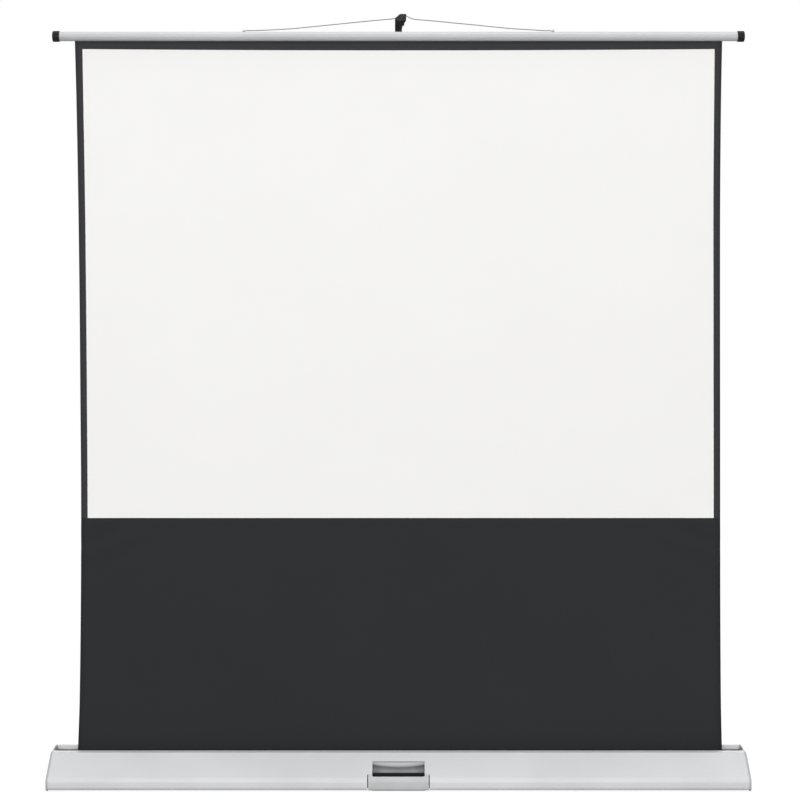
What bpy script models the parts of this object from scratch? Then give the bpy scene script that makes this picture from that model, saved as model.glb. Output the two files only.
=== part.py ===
"""Portable floor screen: a projection fabric that rolls into a long low case and hangs on a folding mast.

Metres, +Z up, front towards -Y. The origin is on the floor, under the middle of the whole screen.
Places along Y are given from the plane of the fabric: in front of it is negative, behind is positive.
"""
import math

import bmesh
import bpy
from mathutils import Vector

# Clearances and common steps
FIT_GAP = 0.0003
OVERRUN = 0.004
MERGE = 0.000001
TURN_STEPS = 18
FINE_TURN_STEPS = 24
PIN_STEPS = 12
SCREW_STEPS = 10
ARC_STEPS = 4
RIM_STEPS = 2
ROUTE_STEPS = 12
SHARP_ANGLE = math.radians(35)

# Fabric: its width drives the length of everything that it hangs from and rolls into
FABRIC_THICK = 0.0005
FABRIC_WIDTH = 1.657
FABRIC_EDGE_DRAW = 0.0065
FABRIC_ROWS = 12

# Case section, in distances from the fabric plane and heights from the floor
CASE_WALL = 0.002
PAD_HEIGHT = 0.003
LIP_REACH = 0.135
LIP_TOP = 0.030
LIP_ROUND = 0.007
FOLD_ROUND = 0.014
KINK_REACH = 0.055
KINK_Z = 0.083
KINK_ROUND = 0.005
LEDGE_WIDTH = 0.021
LEDGE_RISE = 0.002
LEDGE_ROUND = 0.0025
HEM_DROP = 0.0062
UNDER_FLANGE = 0.018
WALL_REACH = 0.027
WALL_RISE = 0.005
HEEL_ROUND = 0.004

# Screw ports: curled C sections at the edges of the extrusions, and one round boss at the heel
PORT_RADIUS = 0.0021
PORT_GAP_ANGLE = math.radians(110)
PORT_STEPS = 7
HEEL_PORT_INSET = 0.0034
HEEL_PORT_WALL = 0.0018

# End caps
CAP_WALL = 0.0045
CAP_PROUD = 0.0008
CAP_BOTTOM = 0.0006
CAP_EDGE_ROUND = 0.004
CAP_RIM_ROUND = 0.0016
CAP_NOTCH_DEPTH = 0.0015
CAP_NOTCH_GAP = 0.0015

# Screws
SCREW_RADIUS = 0.0018
SCREW_HEAD_RADIUS = 0.0036
SCREW_HEAD_HEIGHT = 0.0020
SCREW_DRIVE_RADIUS = 0.0013
SCREW_DRIVE_DEPTH = 0.0009
SCREW_TIP = 0.0015
CAP_SCREW_LENGTH = 0.018
SHORT_SCREW_LENGTH = 0.0075
SUNK_DEPTH = 0.0023
HEAD_CROWN_SHARE = 0.72
HEAD_EDGE_SHARE = 0.45

# Roller
ROLLER_Z = 0.031
ROLLER_RADIUS = 0.016
ROLLER_WALL = 0.0012
ROLLER_MARGIN = 0.0215
ROLLER_END_ROOM = 0.038
WRAP_THICK = 0.0014
PLUG_FLANGE_RISE = 0.0008
PLUG_FLANGE = 0.002
PLUG_LENGTH = 0.022
PIVOT_PIN_RADIUS = 0.004
BEARING_GAP = 0.0003
PIN_SHOULDER_RADIUS = 0.006
PIN_SHOULDER = 0.002
PIN_NECK_RADIUS = 0.003
SHAFT_LENGTH = 0.400
ANCHOR_GAP = 0.001
ANCHOR_LENGTH = 0.008
SPRING_RADIUS = 0.009
SPRING_WIRE_RADIUS = 0.001
SPRING_TURNS = 12
SPRING_POINTS_PER_TURN = 8

# Roller brackets
BRACKET_WALL = 0.002
BRACKET_WIDTH = 0.040
BRACKET_RISE = 0.023
BRACKET_ROUND = 0.008
BRACKET_FOOT = 0.018
BRACKET_SCREW_INSET = 0.009

# Top bar
BAR_AXIS_Z = 1.912
BAR_RADIUS = 0.012
BAR_WALL = 0.0012
BAR_SLOT_WIDTH = 0.0016
BAR_END_INSET = 0.0035
BAR_CAP_RISE = 0.002
BAR_CAP_LENGTH = 0.018
BAR_CAP_END = 0.003
BAR_CAP_ROUND = 0.003
BAR_STOWED_DROP = 0.016
HEM_ROD_RADIUS = 0.0022

# Handle: an opening in the slope, a pocket behind it and a grip let into the lip
OPENING_WIDTH = 0.1323
OPENING_ABOVE_FOLD = 0.0100
OPENING_HEIGHT = 0.0550
OPENING_ROUND = 0.005
GRIP_WIDTH = 0.1566
GRIP_ABOVE_FOLD = 0.0186
GRIP_WALL = 0.003
GRIP_PROUD = 0.0009
GRIP_BOTTOM = 0.0008
GRIP_BAND_STEP = 0.0015
GRIP_SEAM = 0.002
GRIP_FLANGE_WIDTH = 0.041
GRIP_FLANGE_THICK = 0.0034
GRIP_TOE_ROUND = 0.0012
GRIP_SCREW_X = 0.045
GRIP_SCREW_INSET = 0.008
POCKET_WALL = 0.0016
POCKET_FLANGE = 0.006
POCKET_DROP = 0.0015
SCOOP_DEPTH = 0.0105
SCOOP_BOW = 0.009
CHANNEL_DEPTH = 0.0245
CHANNEL_WIDTH = 0.0252
POCKET_FRONT_TOP = 0.0055
POCKET_SIDE_DRAFT = 0.002
SCOOP_SHARES = [
    (0.06, 0.3, 0.25),
    (0.17, 1.0, 0.42),
    (0.24, 1.0, 0.72),
    (0.45, 0.6, 0.95),
    (0.75, 0.2, 1.0),
    (1.0, 0, 0.84),
]
CHANNEL_SHARES = [(0.05, 0.10), (0.14, 0.85), (0.32, 1.0), (0.60, 1.0), (0.84, 0.82)]
POCKET_COLUMN_SHARES = [0, 0.3, 0.6, 0.85]

# Foot pads
PAD_LENGTH = 0.034
PAD_WIDTH = 0.016
PAD_ROUND = 0.005
PAD_END_INSET = 0.108
PAD_FRONT_INSET = 0.037
PAD_REAR_INSET = 0.013

# Mast tubes
PIVOT_Z = 0.045
LOWER_RADIUS = 0.0125
TUBE_STEP = 0.002
MAST_WALL = 0.0012
LOWER_TOP = 0.800
MIDDLE_TOP = 1.370
TUBE_BELOW_PIVOT = 0.015
MIDDLE_OVERLAP = 0.130
UPPER_OVERLAP = 0.120
MAST_ABOVE_BAR = 0.010
SLIDE_GAP = 0.0003
GLIDE_FLANGE = 0.010
GLIDE_SPIGOT = 0.018
FOOT_FLANGE = 0.0025
FOOT_SPIGOT = 0.034

# Clamp collars with cam levers
COLLAR_WALL = 0.0027
COLLAR_HEIGHT = 0.038
COLLAR_BELOW_TUBE = 0.025
COLLAR_ROUND = 0.0012
EAR_HEIGHT = 0.0075
EAR_RADIUS = 0.0038
HINGE_PIN_RADIUS = 0.0016
HINGE_OFFSET = 0.0042
LEVER_GAP = 0.0014
LEVER_THICK = 0.0028
LEVER_SWEEP_START = math.radians(172)
LEVER_SWEEP_END = math.radians(58)
LEVER_STEPS = 10
LEVER_TIP_FLARE = 0.003

# Mast bracket, pivot bolt and knob
EAR_WALL = 0.003
EAR_GAP = 0.0012
BRACKET_PLATE_HALF = 0.034
BRACKET_PLATE_LOW = 0.014
BRACKET_BELOW_RIM = 0.0018
BRACKET_CORNER = 0.006
REAR_EAR_DROP = 0.016
WEB_RISE = 0.023
BRACKET_SCREW_EDGE = 0.008
BRACKET_SCREW_MARGIN = 0.009
BOLT_RADIUS = 0.004
BOLT_HOLE_GAP = 0.0004
BOLT_HEAD_RADIUS = 0.009
BOLT_HEAD_HEIGHT = 0.003
BOLT_IN_KNOB = 0.014
KNOB_RADIUS = 0.0165
KNOB_LOBE = 0.0018
KNOB_LOBES = 6
KNOB_STEPS_PER_LOBE = 6
KNOB_HUB_RADIUS = 0.009
KNOB_HUB = 0.005
KNOB_DEPTH = 0.020
KNOB_ROUND = 0.0025

# Cradle for the folded mast
CRADLE_X = 0.600
CRADLE_HALF = 0.014
CRADLE_GAP = 0.0005
CRADLE_WALL = 0.0022
CRADLE_PLATE = 0.0025
CRADLE_ARM = 0.006
CRADLE_SCREW_EDGE = 0.008
CRADLE_SCREW_X = 0.0075
CRADLE_SCREW_DROP = 0.026

# Cord and the hook that lifts it
CORD_RADIUS = 0.00125
EYELET_X = 0.395
EYELET_RADIUS = 0.0045
EYELET_FLANGE = 0.0012
EYELET_HEIGHT = 0.0052
EYELET_NECK_RADIUS = 0.0030
EYELET_SHANK_RADIUS = 0.0022
EYELET_SHANK = 0.005
HOOK_BAR_GAP = 0.0028
HOOK_PLATE = 0.0050
HOOK_GROOVE = 0.0052
HOOK_STEM_RISE = 0.0145
HOOK_SHELF_RISE = 0.027
HOOK_TOP_RISE = 0.060
HOOK_BOSS_STEP = 0.001
HOOK_SHOULDER = 0.0023
HOOK_SPIGOT = 0.030
HOOK_SHELF_GAP = 0.0006
SHELF_STEPS = 8
HEAD_STEPS = 3
HEAD_SHARES = [
    (0.0, 0.11, 0.10),
    (0.22, 0.0, 0.06),
    (0.41, 0.0, 0.03),
    (0.48, 0.05, 0.02),
    (0.55, 0.0, 0.03),
    (0.76, 0.0, 0.06),
    (1.0, 0.11, 0.10),
    (1.0, 0.37, 0.04),
    (1.28, 0.37, 0.09),
    (1.33, 0.52, 0.05),
    (1.58, 0.66, 0.06),
    (1.60, 1.0, 0.12),
    (0.72, 1.0, 0.12),
    (0.0, 0.76, 0.10),
]


# Places worked out from the sizes above
LEDGE_REACH = KINK_REACH - LEDGE_WIDTH
LEDGE_Z = KINK_Z + LEDGE_RISE
WALL_TOP = KINK_Z + WALL_RISE
PORT_OUTER = PORT_RADIUS + CASE_WALL
ROLLER_LENGTH = FABRIC_WIDTH + 2 * ROLLER_MARGIN
CASE_LENGTH = ROLLER_LENGTH + 2 * ROLLER_END_ROOM
EXTRUSION_HALF = CASE_LENGTH / 2 - CAP_WALL - FIT_GAP
WRAP_RADIUS = ROLLER_RADIUS + WRAP_THICK
ROLLER_REACH = -(WRAP_RADIUS + FIT_GAP + FABRIC_THICK / 2)
BAR_LENGTH = CASE_LENGTH - 2 * BAR_END_INSET
BAR_TUBE_HALF = BAR_LENGTH / 2 - BAR_CAP_END - FIT_GAP
BAR_CAP_RADIUS = BAR_RADIUS + BAR_CAP_RISE
BAR_STOWED_Z = WALL_TOP - BAR_STOWED_DROP
FLOOR_TOP = PAD_HEIGHT + CASE_WALL
SLOPE = Vector((-(LIP_REACH - KINK_REACH), LIP_TOP - KINK_Z)).normalized()
SLOPE_OUT = Vector((SLOPE.y, -SLOPE.x))
SLOPE_LENGTH = math.hypot(LIP_REACH - KINK_REACH, KINK_Z - LIP_TOP)
OPENING_END = SLOPE_LENGTH - OPENING_ABOVE_FOLD
OPENING_START = OPENING_END - OPENING_HEIGHT
GRIP_START = SLOPE_LENGTH - GRIP_ABOVE_FOLD
GRIP_FLANGE_REACH = LIP_REACH - GRIP_FLANGE_WIDTH
MIDDLE_RADIUS = LOWER_RADIUS - TUBE_STEP
UPPER_RADIUS = MIDDLE_RADIUS - TUBE_STEP
LOWER_BOTTOM = PIVOT_Z - TUBE_BELOW_PIVOT
MIDDLE_BOTTOM = LOWER_TOP - MIDDLE_OVERLAP
UPPER_BOTTOM = MIDDLE_TOP - UPPER_OVERLAP
UPPER_TOP = BAR_AXIS_Z + MAST_ABOVE_BAR
MAST_REACH = WALL_REACH + FIT_GAP + EAR_WALL + EAR_GAP + LOWER_RADIUS
REAR_EAR_REACH = MAST_REACH + LOWER_RADIUS + EAR_GAP
KNOB_REACH = REAR_EAR_REACH + EAR_WALL + FIT_GAP
BRACKET_PLATE_HIGH = WALL_TOP - BRACKET_BELOW_RIM
FRONT_LIMIT = LIP_REACH + max(CAP_PROUD, GRIP_PROUD)
REAR_LIMIT = KNOB_REACH + KNOB_DEPTH
SCREEN_Y = (FRONT_LIMIT - REAR_LIMIT) / 2
HOOK_FRONT_REACH = BAR_RADIUS + HOOK_BAR_GAP
HOOK_STEM_HALF = UPPER_RADIUS + FIT_GAP * 2
HOOK_STEM_LOW = BAR_AXIS_Z + HOOK_STEM_RISE
HOOK_SHELF_LOW = BAR_AXIS_Z + HOOK_SHELF_RISE
HOOK_TOP = BAR_AXIS_Z + HOOK_TOP_RISE

# The cord's centre line from eyelet to eyelet: x, distance behind the fabric, height above the bar's axis
CORD_ROUTE = [
    (-0.3906, 0.0004, 0.0150),
    (-0.3700, 0.0014, 0.0153),
    (-0.3235, 0.0041, 0.0175),
    (-0.2725, 0.0070, 0.0210),
    (-0.2214, 0.0100, 0.0264),
    (-0.1702, 0.0129, 0.0320),
    (-0.1190, 0.0158, 0.0376),
    (-0.0677, 0.0189, 0.0432),
    (-0.0300, 0.0212, 0.0469),
    (-0.0150, 0.0220, 0.0484),
    (-0.0050, 0.0221, 0.0496),
    (0.0050, 0.0221, 0.0514),
    (0.0115, 0.0221, 0.0545),
    (0.0170, 0.0221, 0.0567),
    (0.0218, 0.0219, 0.0566),
    (0.0246, 0.0216, 0.0550),
    (0.0276, 0.0214, 0.0520),
    (0.0310, 0.0211, 0.0493),
    (0.0370, 0.0206, 0.0475),
    (0.0503, 0.0196, 0.0460),
    (0.0862, 0.0174, 0.0427),
    (0.1374, 0.0144, 0.0372),
    (0.1886, 0.0115, 0.0319),
    (0.2398, 0.0086, 0.0262),
    (0.2909, 0.0058, 0.0208),
    (0.3419, 0.0030, 0.0174),
    (0.3720, 0.0014, 0.0153),
    (0.3906, 0.0004, 0.0150),
]
CORD_POINTS = 66


# Small tools
def clear_scene():
    for thing in list(bpy.data.objects):
        bpy.data.objects.remove(thing, do_unlink=True)


def skin(name, colour, roughness, metallic=0.0):
    made = bpy.data.materials.new(name)
    made.use_nodes = True
    shader = made.node_tree.nodes["Principled BSDF"]
    shader.inputs["Base Color"].default_value = (*colour, 1.0)
    shader.inputs["Roughness"].default_value = roughness
    shader.inputs["Metallic"].default_value = metallic
    made.diffuse_color = (*colour, 1.0)
    return made


def axis_empty(name, place, parent=None):
    empty = bpy.data.objects.new(name, None)
    empty.location = place
    bpy.context.scene.collection.objects.link(empty)
    hang(empty, parent)
    return empty


def hang(thing, parent):
    """Make thing a child of parent without moving it; the parents are never turned."""
    if parent is not None:
        place = parent.location.copy()
        above = parent.parent
        while above is not None:
            place += above.location
            above = above.parent
        thing.parent = parent
        thing.location = Vector(thing.location) - place


def piece(name, bm, look, parent=None, smooth=False, origin=None):
    """A named object from a bmesh in world places, with its origin where its parent turns or slides."""
    origin = Vector(origin) if origin is not None else Vector((0, 0, 0))
    bmesh.ops.recalc_face_normals(bm, faces=bm.faces)
    bmesh.ops.translate(bm, verts=bm.verts, vec=-origin)
    mesh = bpy.data.meshes.new(name)
    bm.to_mesh(mesh)
    bm.free()
    if smooth:
        mesh.shade_smooth()
        mesh.set_sharp_from_angle(angle=SHARP_ANGLE)
    made = bpy.data.objects.new(name, mesh)
    made.location = origin
    made.data.materials.append(look)
    bpy.context.scene.collection.objects.link(made)
    hang(made, parent)
    return made


def boolean(target, bm, operation, name):
    """Cut target with the shape in bm, or join the shape to it. The helper stays hidden."""
    bmesh.ops.recalc_face_normals(bm, faces=bm.faces)
    mesh = bpy.data.meshes.new(name)
    bm.to_mesh(mesh)
    bm.free()
    helper = bpy.data.objects.new(name, mesh)
    helper.hide_render = True
    helper.display_type = "WIRE"
    bpy.context.scene.collection.objects.link(helper)
    step = target.modifiers.new(name, "BOOLEAN")
    step.operation = operation
    step.solver = "EXACT"
    step.object = helper
    return helper


def cut(target, bm, name):
    return boolean(target, bm, "DIFFERENCE", name)


def join(target, bm, name):
    return boolean(target, bm, "UNION", name)


def arc(centre, radius, start, end, steps):
    """Points on an arc in a plane, ends included."""
    points = []
    for index in range(steps + 1):
        angle = start + (end - start) * index / steps
        points.append(Vector((centre[0] + radius * math.cos(angle), centre[1] + radius * math.sin(angle))))
    return points


def rounded(corners, closed=True, steps=ARC_STEPS):
    """A polyline of (u, v, radius) corners, each turned into an arc of its radius."""
    points = []
    count = len(corners)
    for index, (u, v, radius) in enumerate(corners):
        here = Vector((u, v))
        at_end = not closed and index in (0, count - 1)
        if at_end or radius == 0:
            points.append(here)
            continue
        before = Vector(corners[index - 1][:2]) - here
        after = Vector(corners[(index + 1) % count][:2]) - here
        half = before.angle(after) / 2
        reach = radius / math.tan(half)
        start = here + before.normalized() * reach
        end = here + after.normalized() * reach
        centre = here + (before.normalized() + after.normalized()).normalized() * radius / math.sin(half)
        sweep = (start - centre).angle(end - centre)
        turn = 1 if (start - centre).cross(end - centre) > 0 else -1
        first = math.atan2(start.y - centre.y, start.x - centre.x)
        points.extend(arc(centre, radius, first, first + turn * sweep, steps))
    return points


def beside(path, distance, closed=False):
    """The polyline shifted to its left by a distance, with mitred corners."""
    shifted = []
    count = len(path)
    for index, point in enumerate(path):
        normals = []
        for start in (index - 1, index):
            if closed or 0 <= start < count - 1:
                along = (path[(start + 1) % count] - path[start]).normalized()
                normals.append(Vector((-along.y, along.x)))
        mitre = sum(normals, Vector((0, 0))).normalized()
        shifted.append(point + mitre * distance / mitre.dot(normals[0]))
    return shifted


def sheet_outline(path, wall):
    """The closed outline of a bent sheet whose outer face follows path, with the sheet on the left."""
    return list(path) + list(reversed(beside(path, wall)))


def prism(outline, axis, low, high):
    """Push a flat outline from low to high along X, Y or Z. The other two axes keep their order."""
    bm = bmesh.new()
    corners = []
    for u, v in outline:
        place = {"X": (low, u + SCREEN_Y, v), "Y": (u, low + SCREEN_Y, v), "Z": (u, v + SCREEN_Y, low)}[axis]
        corners.append(bm.verts.new(place))
    face = bm.faces.new(corners)
    push = {"X": (high - low, 0, 0), "Y": (0, high - low, 0), "Z": (0, 0, high - low)}[axis]
    grown = bmesh.ops.extrude_face_region(bm, geom=[face])
    moved = [part for part in grown["geom"] if isinstance(part, bmesh.types.BMVert)]
    bmesh.ops.translate(bm, verts=moved, vec=push)
    return bm


def rimmed_plate(outline, inner, outer, rim):
    """A plate along X whose outline runs anticlockwise, with a round of radius rim round its outer face."""
    bm = bmesh.new()
    side = 1 if outer > inner else -1
    sections = [(inner, 0)]
    for back, inset in arc((rim, rim), rim, -math.pi / 2, -math.pi, RIM_STEPS):
        sections.append((outer - side * back, inset))
    rings = []
    for place, inset in sections:
        ring = beside(outline, inset, closed=True)
        rings.append([bm.verts.new((place, u + SCREEN_Y, v)) for u, v in ring])
    for low, high in zip(rings, rings[1:]):
        for index in range(len(low)):
            after = (index + 1) % len(low)
            bm.faces.new((low[index], low[after], high[after], high[index]))
    bm.faces.new(rings[0])
    bm.faces.new(rings[-1])
    return bm


def block(low, high):
    """A box between two corners given as (x, distance from the fabric, height)."""
    outline = [(low[0], low[2]), (high[0], low[2]), (high[0], high[2]), (low[0], high[2])]
    return prism(outline, "Y", low[1], high[1])


def turned(profile, centre, direction, steps=TURN_STEPS):
    """A half-section of (radius, distance along the axis) turned into a solid."""
    bm = bmesh.new()
    direction = Vector(direction).normalized()
    side = Vector((0, 0, 1)) if abs(direction.z) == 0 else Vector((1, 0, 0))
    middle = Vector((centre[0], centre[1] + SCREEN_Y, centre[2]))
    points = [bm.verts.new(middle + side * radius + direction * along) for radius, along in profile]
    edges = []
    for index, point in enumerate(points):
        following = (index + 1) % len(points)
        if profile[index][0] or profile[following][0]:
            edges.append(bm.edges.new((point, points[following])))
    section = points + edges
    bmesh.ops.spin(bm, geom=section, cent=middle, axis=direction, angle=math.tau, steps=steps, use_merge=True)
    bmesh.ops.remove_doubles(bm, verts=bm.verts, dist=MERGE)
    return bm


def rod(radius, centre, direction, length, steps=TURN_STEPS):
    return turned([(0, 0), (radius, 0), (radius, length), (0, length)], centre, direction, steps)


def slope_point(along, out):
    """A place on the case's sloped front: down the slope from the kink, and out from its surface."""
    place = Vector((-KINK_REACH, KINK_Z)) + SLOPE * along + SLOPE_OUT * out
    return place


def pan_screw(name, head_seat, direction, length, look, parent=None):
    """A round-headed screw. head_seat is where its head bears, direction points to its tip."""
    profile = [
        (0, -SCREW_HEAD_HEIGHT + SCREW_DRIVE_DEPTH),
        (SCREW_DRIVE_RADIUS, -SCREW_HEAD_HEIGHT + SCREW_DRIVE_DEPTH),
        (SCREW_DRIVE_RADIUS, -SCREW_HEAD_HEIGHT),
        (SCREW_HEAD_RADIUS * HEAD_CROWN_SHARE, -SCREW_HEAD_HEIGHT),
        (SCREW_HEAD_RADIUS, -SCREW_HEAD_HEIGHT * HEAD_EDGE_SHARE),
        (SCREW_HEAD_RADIUS, 0),
        (SCREW_RADIUS, 0),
        (SCREW_RADIUS, length - SCREW_TIP),
        (0, length),
    ]
    return piece(name, turned(profile, head_seat, direction, SCREW_STEPS), look, parent, smooth=True)


def screw_hole(seat, direction, depth, sink=0):
    """The cutter for a screw: a clearance hole behind seat, and a sink for its head in front."""
    hole = SCREW_RADIUS + FIT_GAP
    bowl = SCREW_HEAD_RADIUS + FIT_GAP
    profile = [(0, depth), (hole, depth), (hole, 0), (bowl, 0), (bowl, -sink - OVERRUN), (0, -sink - OVERRUN)]
    if not sink:
        profile = [(0, depth), (hole, depth), (hole, -OVERRUN), (0, -OVERRUN)]
    return turned(profile, seat, direction, SCREW_STEPS)


# Case
def front_port():
    return (-(LIP_REACH - UNDER_FLANGE) + FIT_GAP + PORT_OUTER, PAD_HEIGHT + PORT_OUTER)


def ledge_port():
    return (-LEDGE_REACH - PORT_OUTER, LEDGE_Z - HEM_DROP)


def heel_port():
    return (WALL_REACH - CASE_WALL - HEEL_PORT_INSET, FLOOR_TOP + HEEL_PORT_INSET)


def make_base_tray(look):
    """Floor and rear wall in one extrusion; its front edge curls into a screw port."""
    path = arc(front_port(), PORT_OUTER, -math.pi / 2 + PORT_GAP_ANGLE, math.pi * 1.5, PORT_STEPS)
    heel_and_wall = rounded(
        [(front_port()[0], PAD_HEIGHT, 0), (WALL_REACH, PAD_HEIGHT, HEEL_ROUND), (WALL_REACH, WALL_TOP, 0)],
        closed=False,
    )
    path = path + heel_and_wall[1:]
    tray = piece(
        "base_tray",
        prism(sheet_outline(path, CASE_WALL), "X", -EXTRUSION_HALF, EXTRUSION_HALF),
        look,
        smooth=True,
    )
    boss = turned(
        [
            (PORT_RADIUS, 0),
            (PORT_RADIUS + HEEL_PORT_WALL, 0),
            (PORT_RADIUS + HEEL_PORT_WALL, 2 * EXTRUSION_HALF),
            (PORT_RADIUS, 2 * EXTRUSION_HALF),
        ],
        (-EXTRUSION_HALF, *heel_port()),
        (1, 0, 0),
        SCREW_STEPS,
    )
    join(tray, boss, "tray_heel_port")
    notch_half = GRIP_WIDTH / 2 + FIT_GAP
    notch_reach = front_port()[0] + PORT_OUTER
    cut(
        tray,
        block((-notch_half, -LIP_REACH, 0), (notch_half, notch_reach, PAD_HEIGHT + 2 * PORT_OUTER + OVERRUN)),
        "tray_grip_notch",
    )
    return tray


def make_front_cover(look):
    """Lip, slope and ledge in one extrusion; its hem curls into a screw port."""
    skin_path = rounded(
        [
            (-(LIP_REACH - UNDER_FLANGE), PAD_HEIGHT, 0),
            (-LIP_REACH, PAD_HEIGHT, LIP_ROUND),
            (-LIP_REACH, LIP_TOP, FOLD_ROUND),
            (-KINK_REACH, KINK_Z, KINK_ROUND),
            (-LEDGE_REACH, LEDGE_Z, LEDGE_ROUND),
            (-LEDGE_REACH, ledge_port()[1], 0),
        ],
        closed=False,
    )
    curl = arc(ledge_port(), PORT_OUTER, 0, PORT_GAP_ANGLE - math.tau, PORT_STEPS)
    path = skin_path + curl[1:]
    outline = sheet_outline(path, -CASE_WALL)
    cover = piece("front_cover", prism(outline, "X", -EXTRUSION_HALF, EXTRUSION_HALF), look, smooth=True)
    cut(cover, opening_cutter(), "cover_opening")
    cut(cover, grip_seat_cutter(), "cover_grip_seat")
    return cover


def slope_prism(outline, low, high):
    """A prism on the slope: its outline is (x, distance down the slope), pushed along the way out."""
    bm = bmesh.new()
    corners = []
    for across, along in outline:
        place = slope_point(along, low)
        corners.append(bm.verts.new((across, place.x + SCREEN_Y, place.y)))
    face = bm.faces.new(corners)
    grown = bmesh.ops.extrude_face_region(bm, geom=[face])
    moved = [part for part in grown["geom"] if isinstance(part, bmesh.types.BMVert)]
    out = SLOPE_OUT * (high - low)
    bmesh.ops.translate(bm, verts=moved, vec=(0, out.x, out.y))
    return bm


def opening_cutter():
    """The finger opening, with rounded corners towards the grip."""
    half = OPENING_WIDTH / 2
    outline = rounded(
        [
            (-half, OPENING_START, 0),
            (half, OPENING_START, 0),
            (half, OPENING_END, OPENING_ROUND),
            (-half, OPENING_END, OPENING_ROUND),
        ]
    )
    return slope_prism(outline, -GRIP_WALL - OVERRUN, GRIP_PROUD + OVERRUN)


def grip_seat_cutter():
    """What the grip replaces: the end of the slope, the fold, the lip and the flange under it."""
    half = GRIP_WIDTH / 2 + FIT_GAP
    top = slope_point(GRIP_START - FIT_GAP, OVERRUN)
    inner = slope_point(GRIP_START - FIT_GAP, -CASE_WALL - OVERRUN)
    behind = -(LIP_REACH - UNDER_FLANGE) + OVERRUN
    outline = [
        (top.x, top.y),
        (inner.x, inner.y),
        (behind, inner.y),
        (behind, -OVERRUN),
        (-LIP_REACH - OVERRUN, -OVERRUN),
        (-LIP_REACH - OVERRUN, top.y),
    ]
    return prism(outline, "X", -half, half)


def grip_face(along, out, bottom, seat):
    """The grip's outer contour, out from the case: over the fold, down the lip and under it."""
    start = slope_point(along, out)
    fold = slope_point(SLOPE_LENGTH, out)
    front = -LIP_REACH - out
    fold_z = fold.y + (front - fold.x) * SLOPE.y / SLOPE.x
    corners = [
        (start.x, start.y, 0),
        (front, fold_z, FOLD_ROUND + out),
        (front, bottom, LIP_ROUND + out),
        (seat, bottom, 0),
    ]
    return rounded(corners, closed=False)


def grip_seat():
    return front_port()[0] + PORT_OUTER - FIT_GAP


def grip_outline():
    """The grip's section: over the fold, down the lip, under it and onto the tray floor."""
    outer = grip_face(GRIP_START, 0, PAD_HEIGHT - CAP_PROUD, grip_seat())
    inner_front = -LIP_REACH + GRIP_WALL
    flange_low = FLOOR_TOP + FIT_GAP
    flange_high = flange_low + GRIP_FLANGE_THICK
    inner_start = slope_point(GRIP_START, -GRIP_WALL)
    inner_fold_z = inner_start.y + (inner_front - inner_start.x) * SLOPE.y / SLOPE.x
    inner = rounded(
        [
            (grip_seat(), flange_low, 0),
            (-GRIP_FLANGE_REACH, flange_low, GRIP_TOE_ROUND),
            (-GRIP_FLANGE_REACH, flange_high, GRIP_TOE_ROUND),
            (inner_front, flange_high, LIP_ROUND - GRIP_WALL),
            (inner_front, inner_fold_z, FOLD_ROUND - GRIP_WALL),
            (inner_start.x, inner_start.y, 0),
        ],
        closed=False,
    )
    return outer + inner


def grip_band():
    """The proud middle of the grip: a band over the section, rooted halfway into its wall."""
    along = GRIP_START + GRIP_BAND_STEP
    seat = grip_seat() - GRIP_BAND_STEP
    root = GRIP_WALL / 2
    face = grip_face(along, GRIP_PROUD, GRIP_BOTTOM, seat)
    return face + list(reversed(grip_face(along, -root, PAD_HEIGHT - CAP_PROUD + root, seat)))


def make_handle_grip(look):
    shoulder = GRIP_WIDTH / 2 - GRIP_SEAM
    middle = OPENING_WIDTH / 2 + GRIP_BAND_STEP
    grip = piece("handle_grip", prism(grip_outline(), "X", -shoulder, shoulder), look)
    join(grip, prism(grip_band(), "X", -middle, middle), "grip_middle")
    cut(grip, opening_cutter(), "grip_opening")
    for index, across in enumerate((-GRIP_SCREW_X, GRIP_SCREW_X), 1):
        seat = (across, -GRIP_FLANGE_REACH - GRIP_SCREW_INSET, PAD_HEIGHT - FIT_GAP)
        cut(grip, screw_hole(seat, (0, 0, 1), SHORT_SCREW_LENGTH + OVERRUN), f"grip_screw_hole_{index}")
    return grip


def pocket_section(across):
    """The pocket's finger side from the top of the opening to behind the grip, as (along, depth)."""
    side = min(1, abs(across) / (OPENING_WIDTH / 2))
    bow = SCOOP_BOW * (1 - side * side)
    flange_depth = CASE_WALL + FIT_GAP
    scoop_end = OPENING_END - CHANNEL_WIDTH
    channel_top = flange_depth + SCOOP_DEPTH
    rows = [(OPENING_START - POCKET_FLANGE, flange_depth), (OPENING_START, flange_depth)]
    for along_share, bow_share, depth_share in SCOOP_SHARES:
        along = OPENING_START + (scoop_end - OPENING_START) * along_share + bow * bow_share
        rows.append((along, flange_depth + SCOOP_DEPTH * depth_share))
    for along_share, depth_share in CHANNEL_SHARES:
        along = scoop_end + CHANNEL_WIDTH * along_share
        rows.append((along, channel_top + (CHANNEL_DEPTH - channel_top) * depth_share))
    rows.append((OPENING_END - FIT_GAP, POCKET_FRONT_TOP))
    return rows


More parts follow.
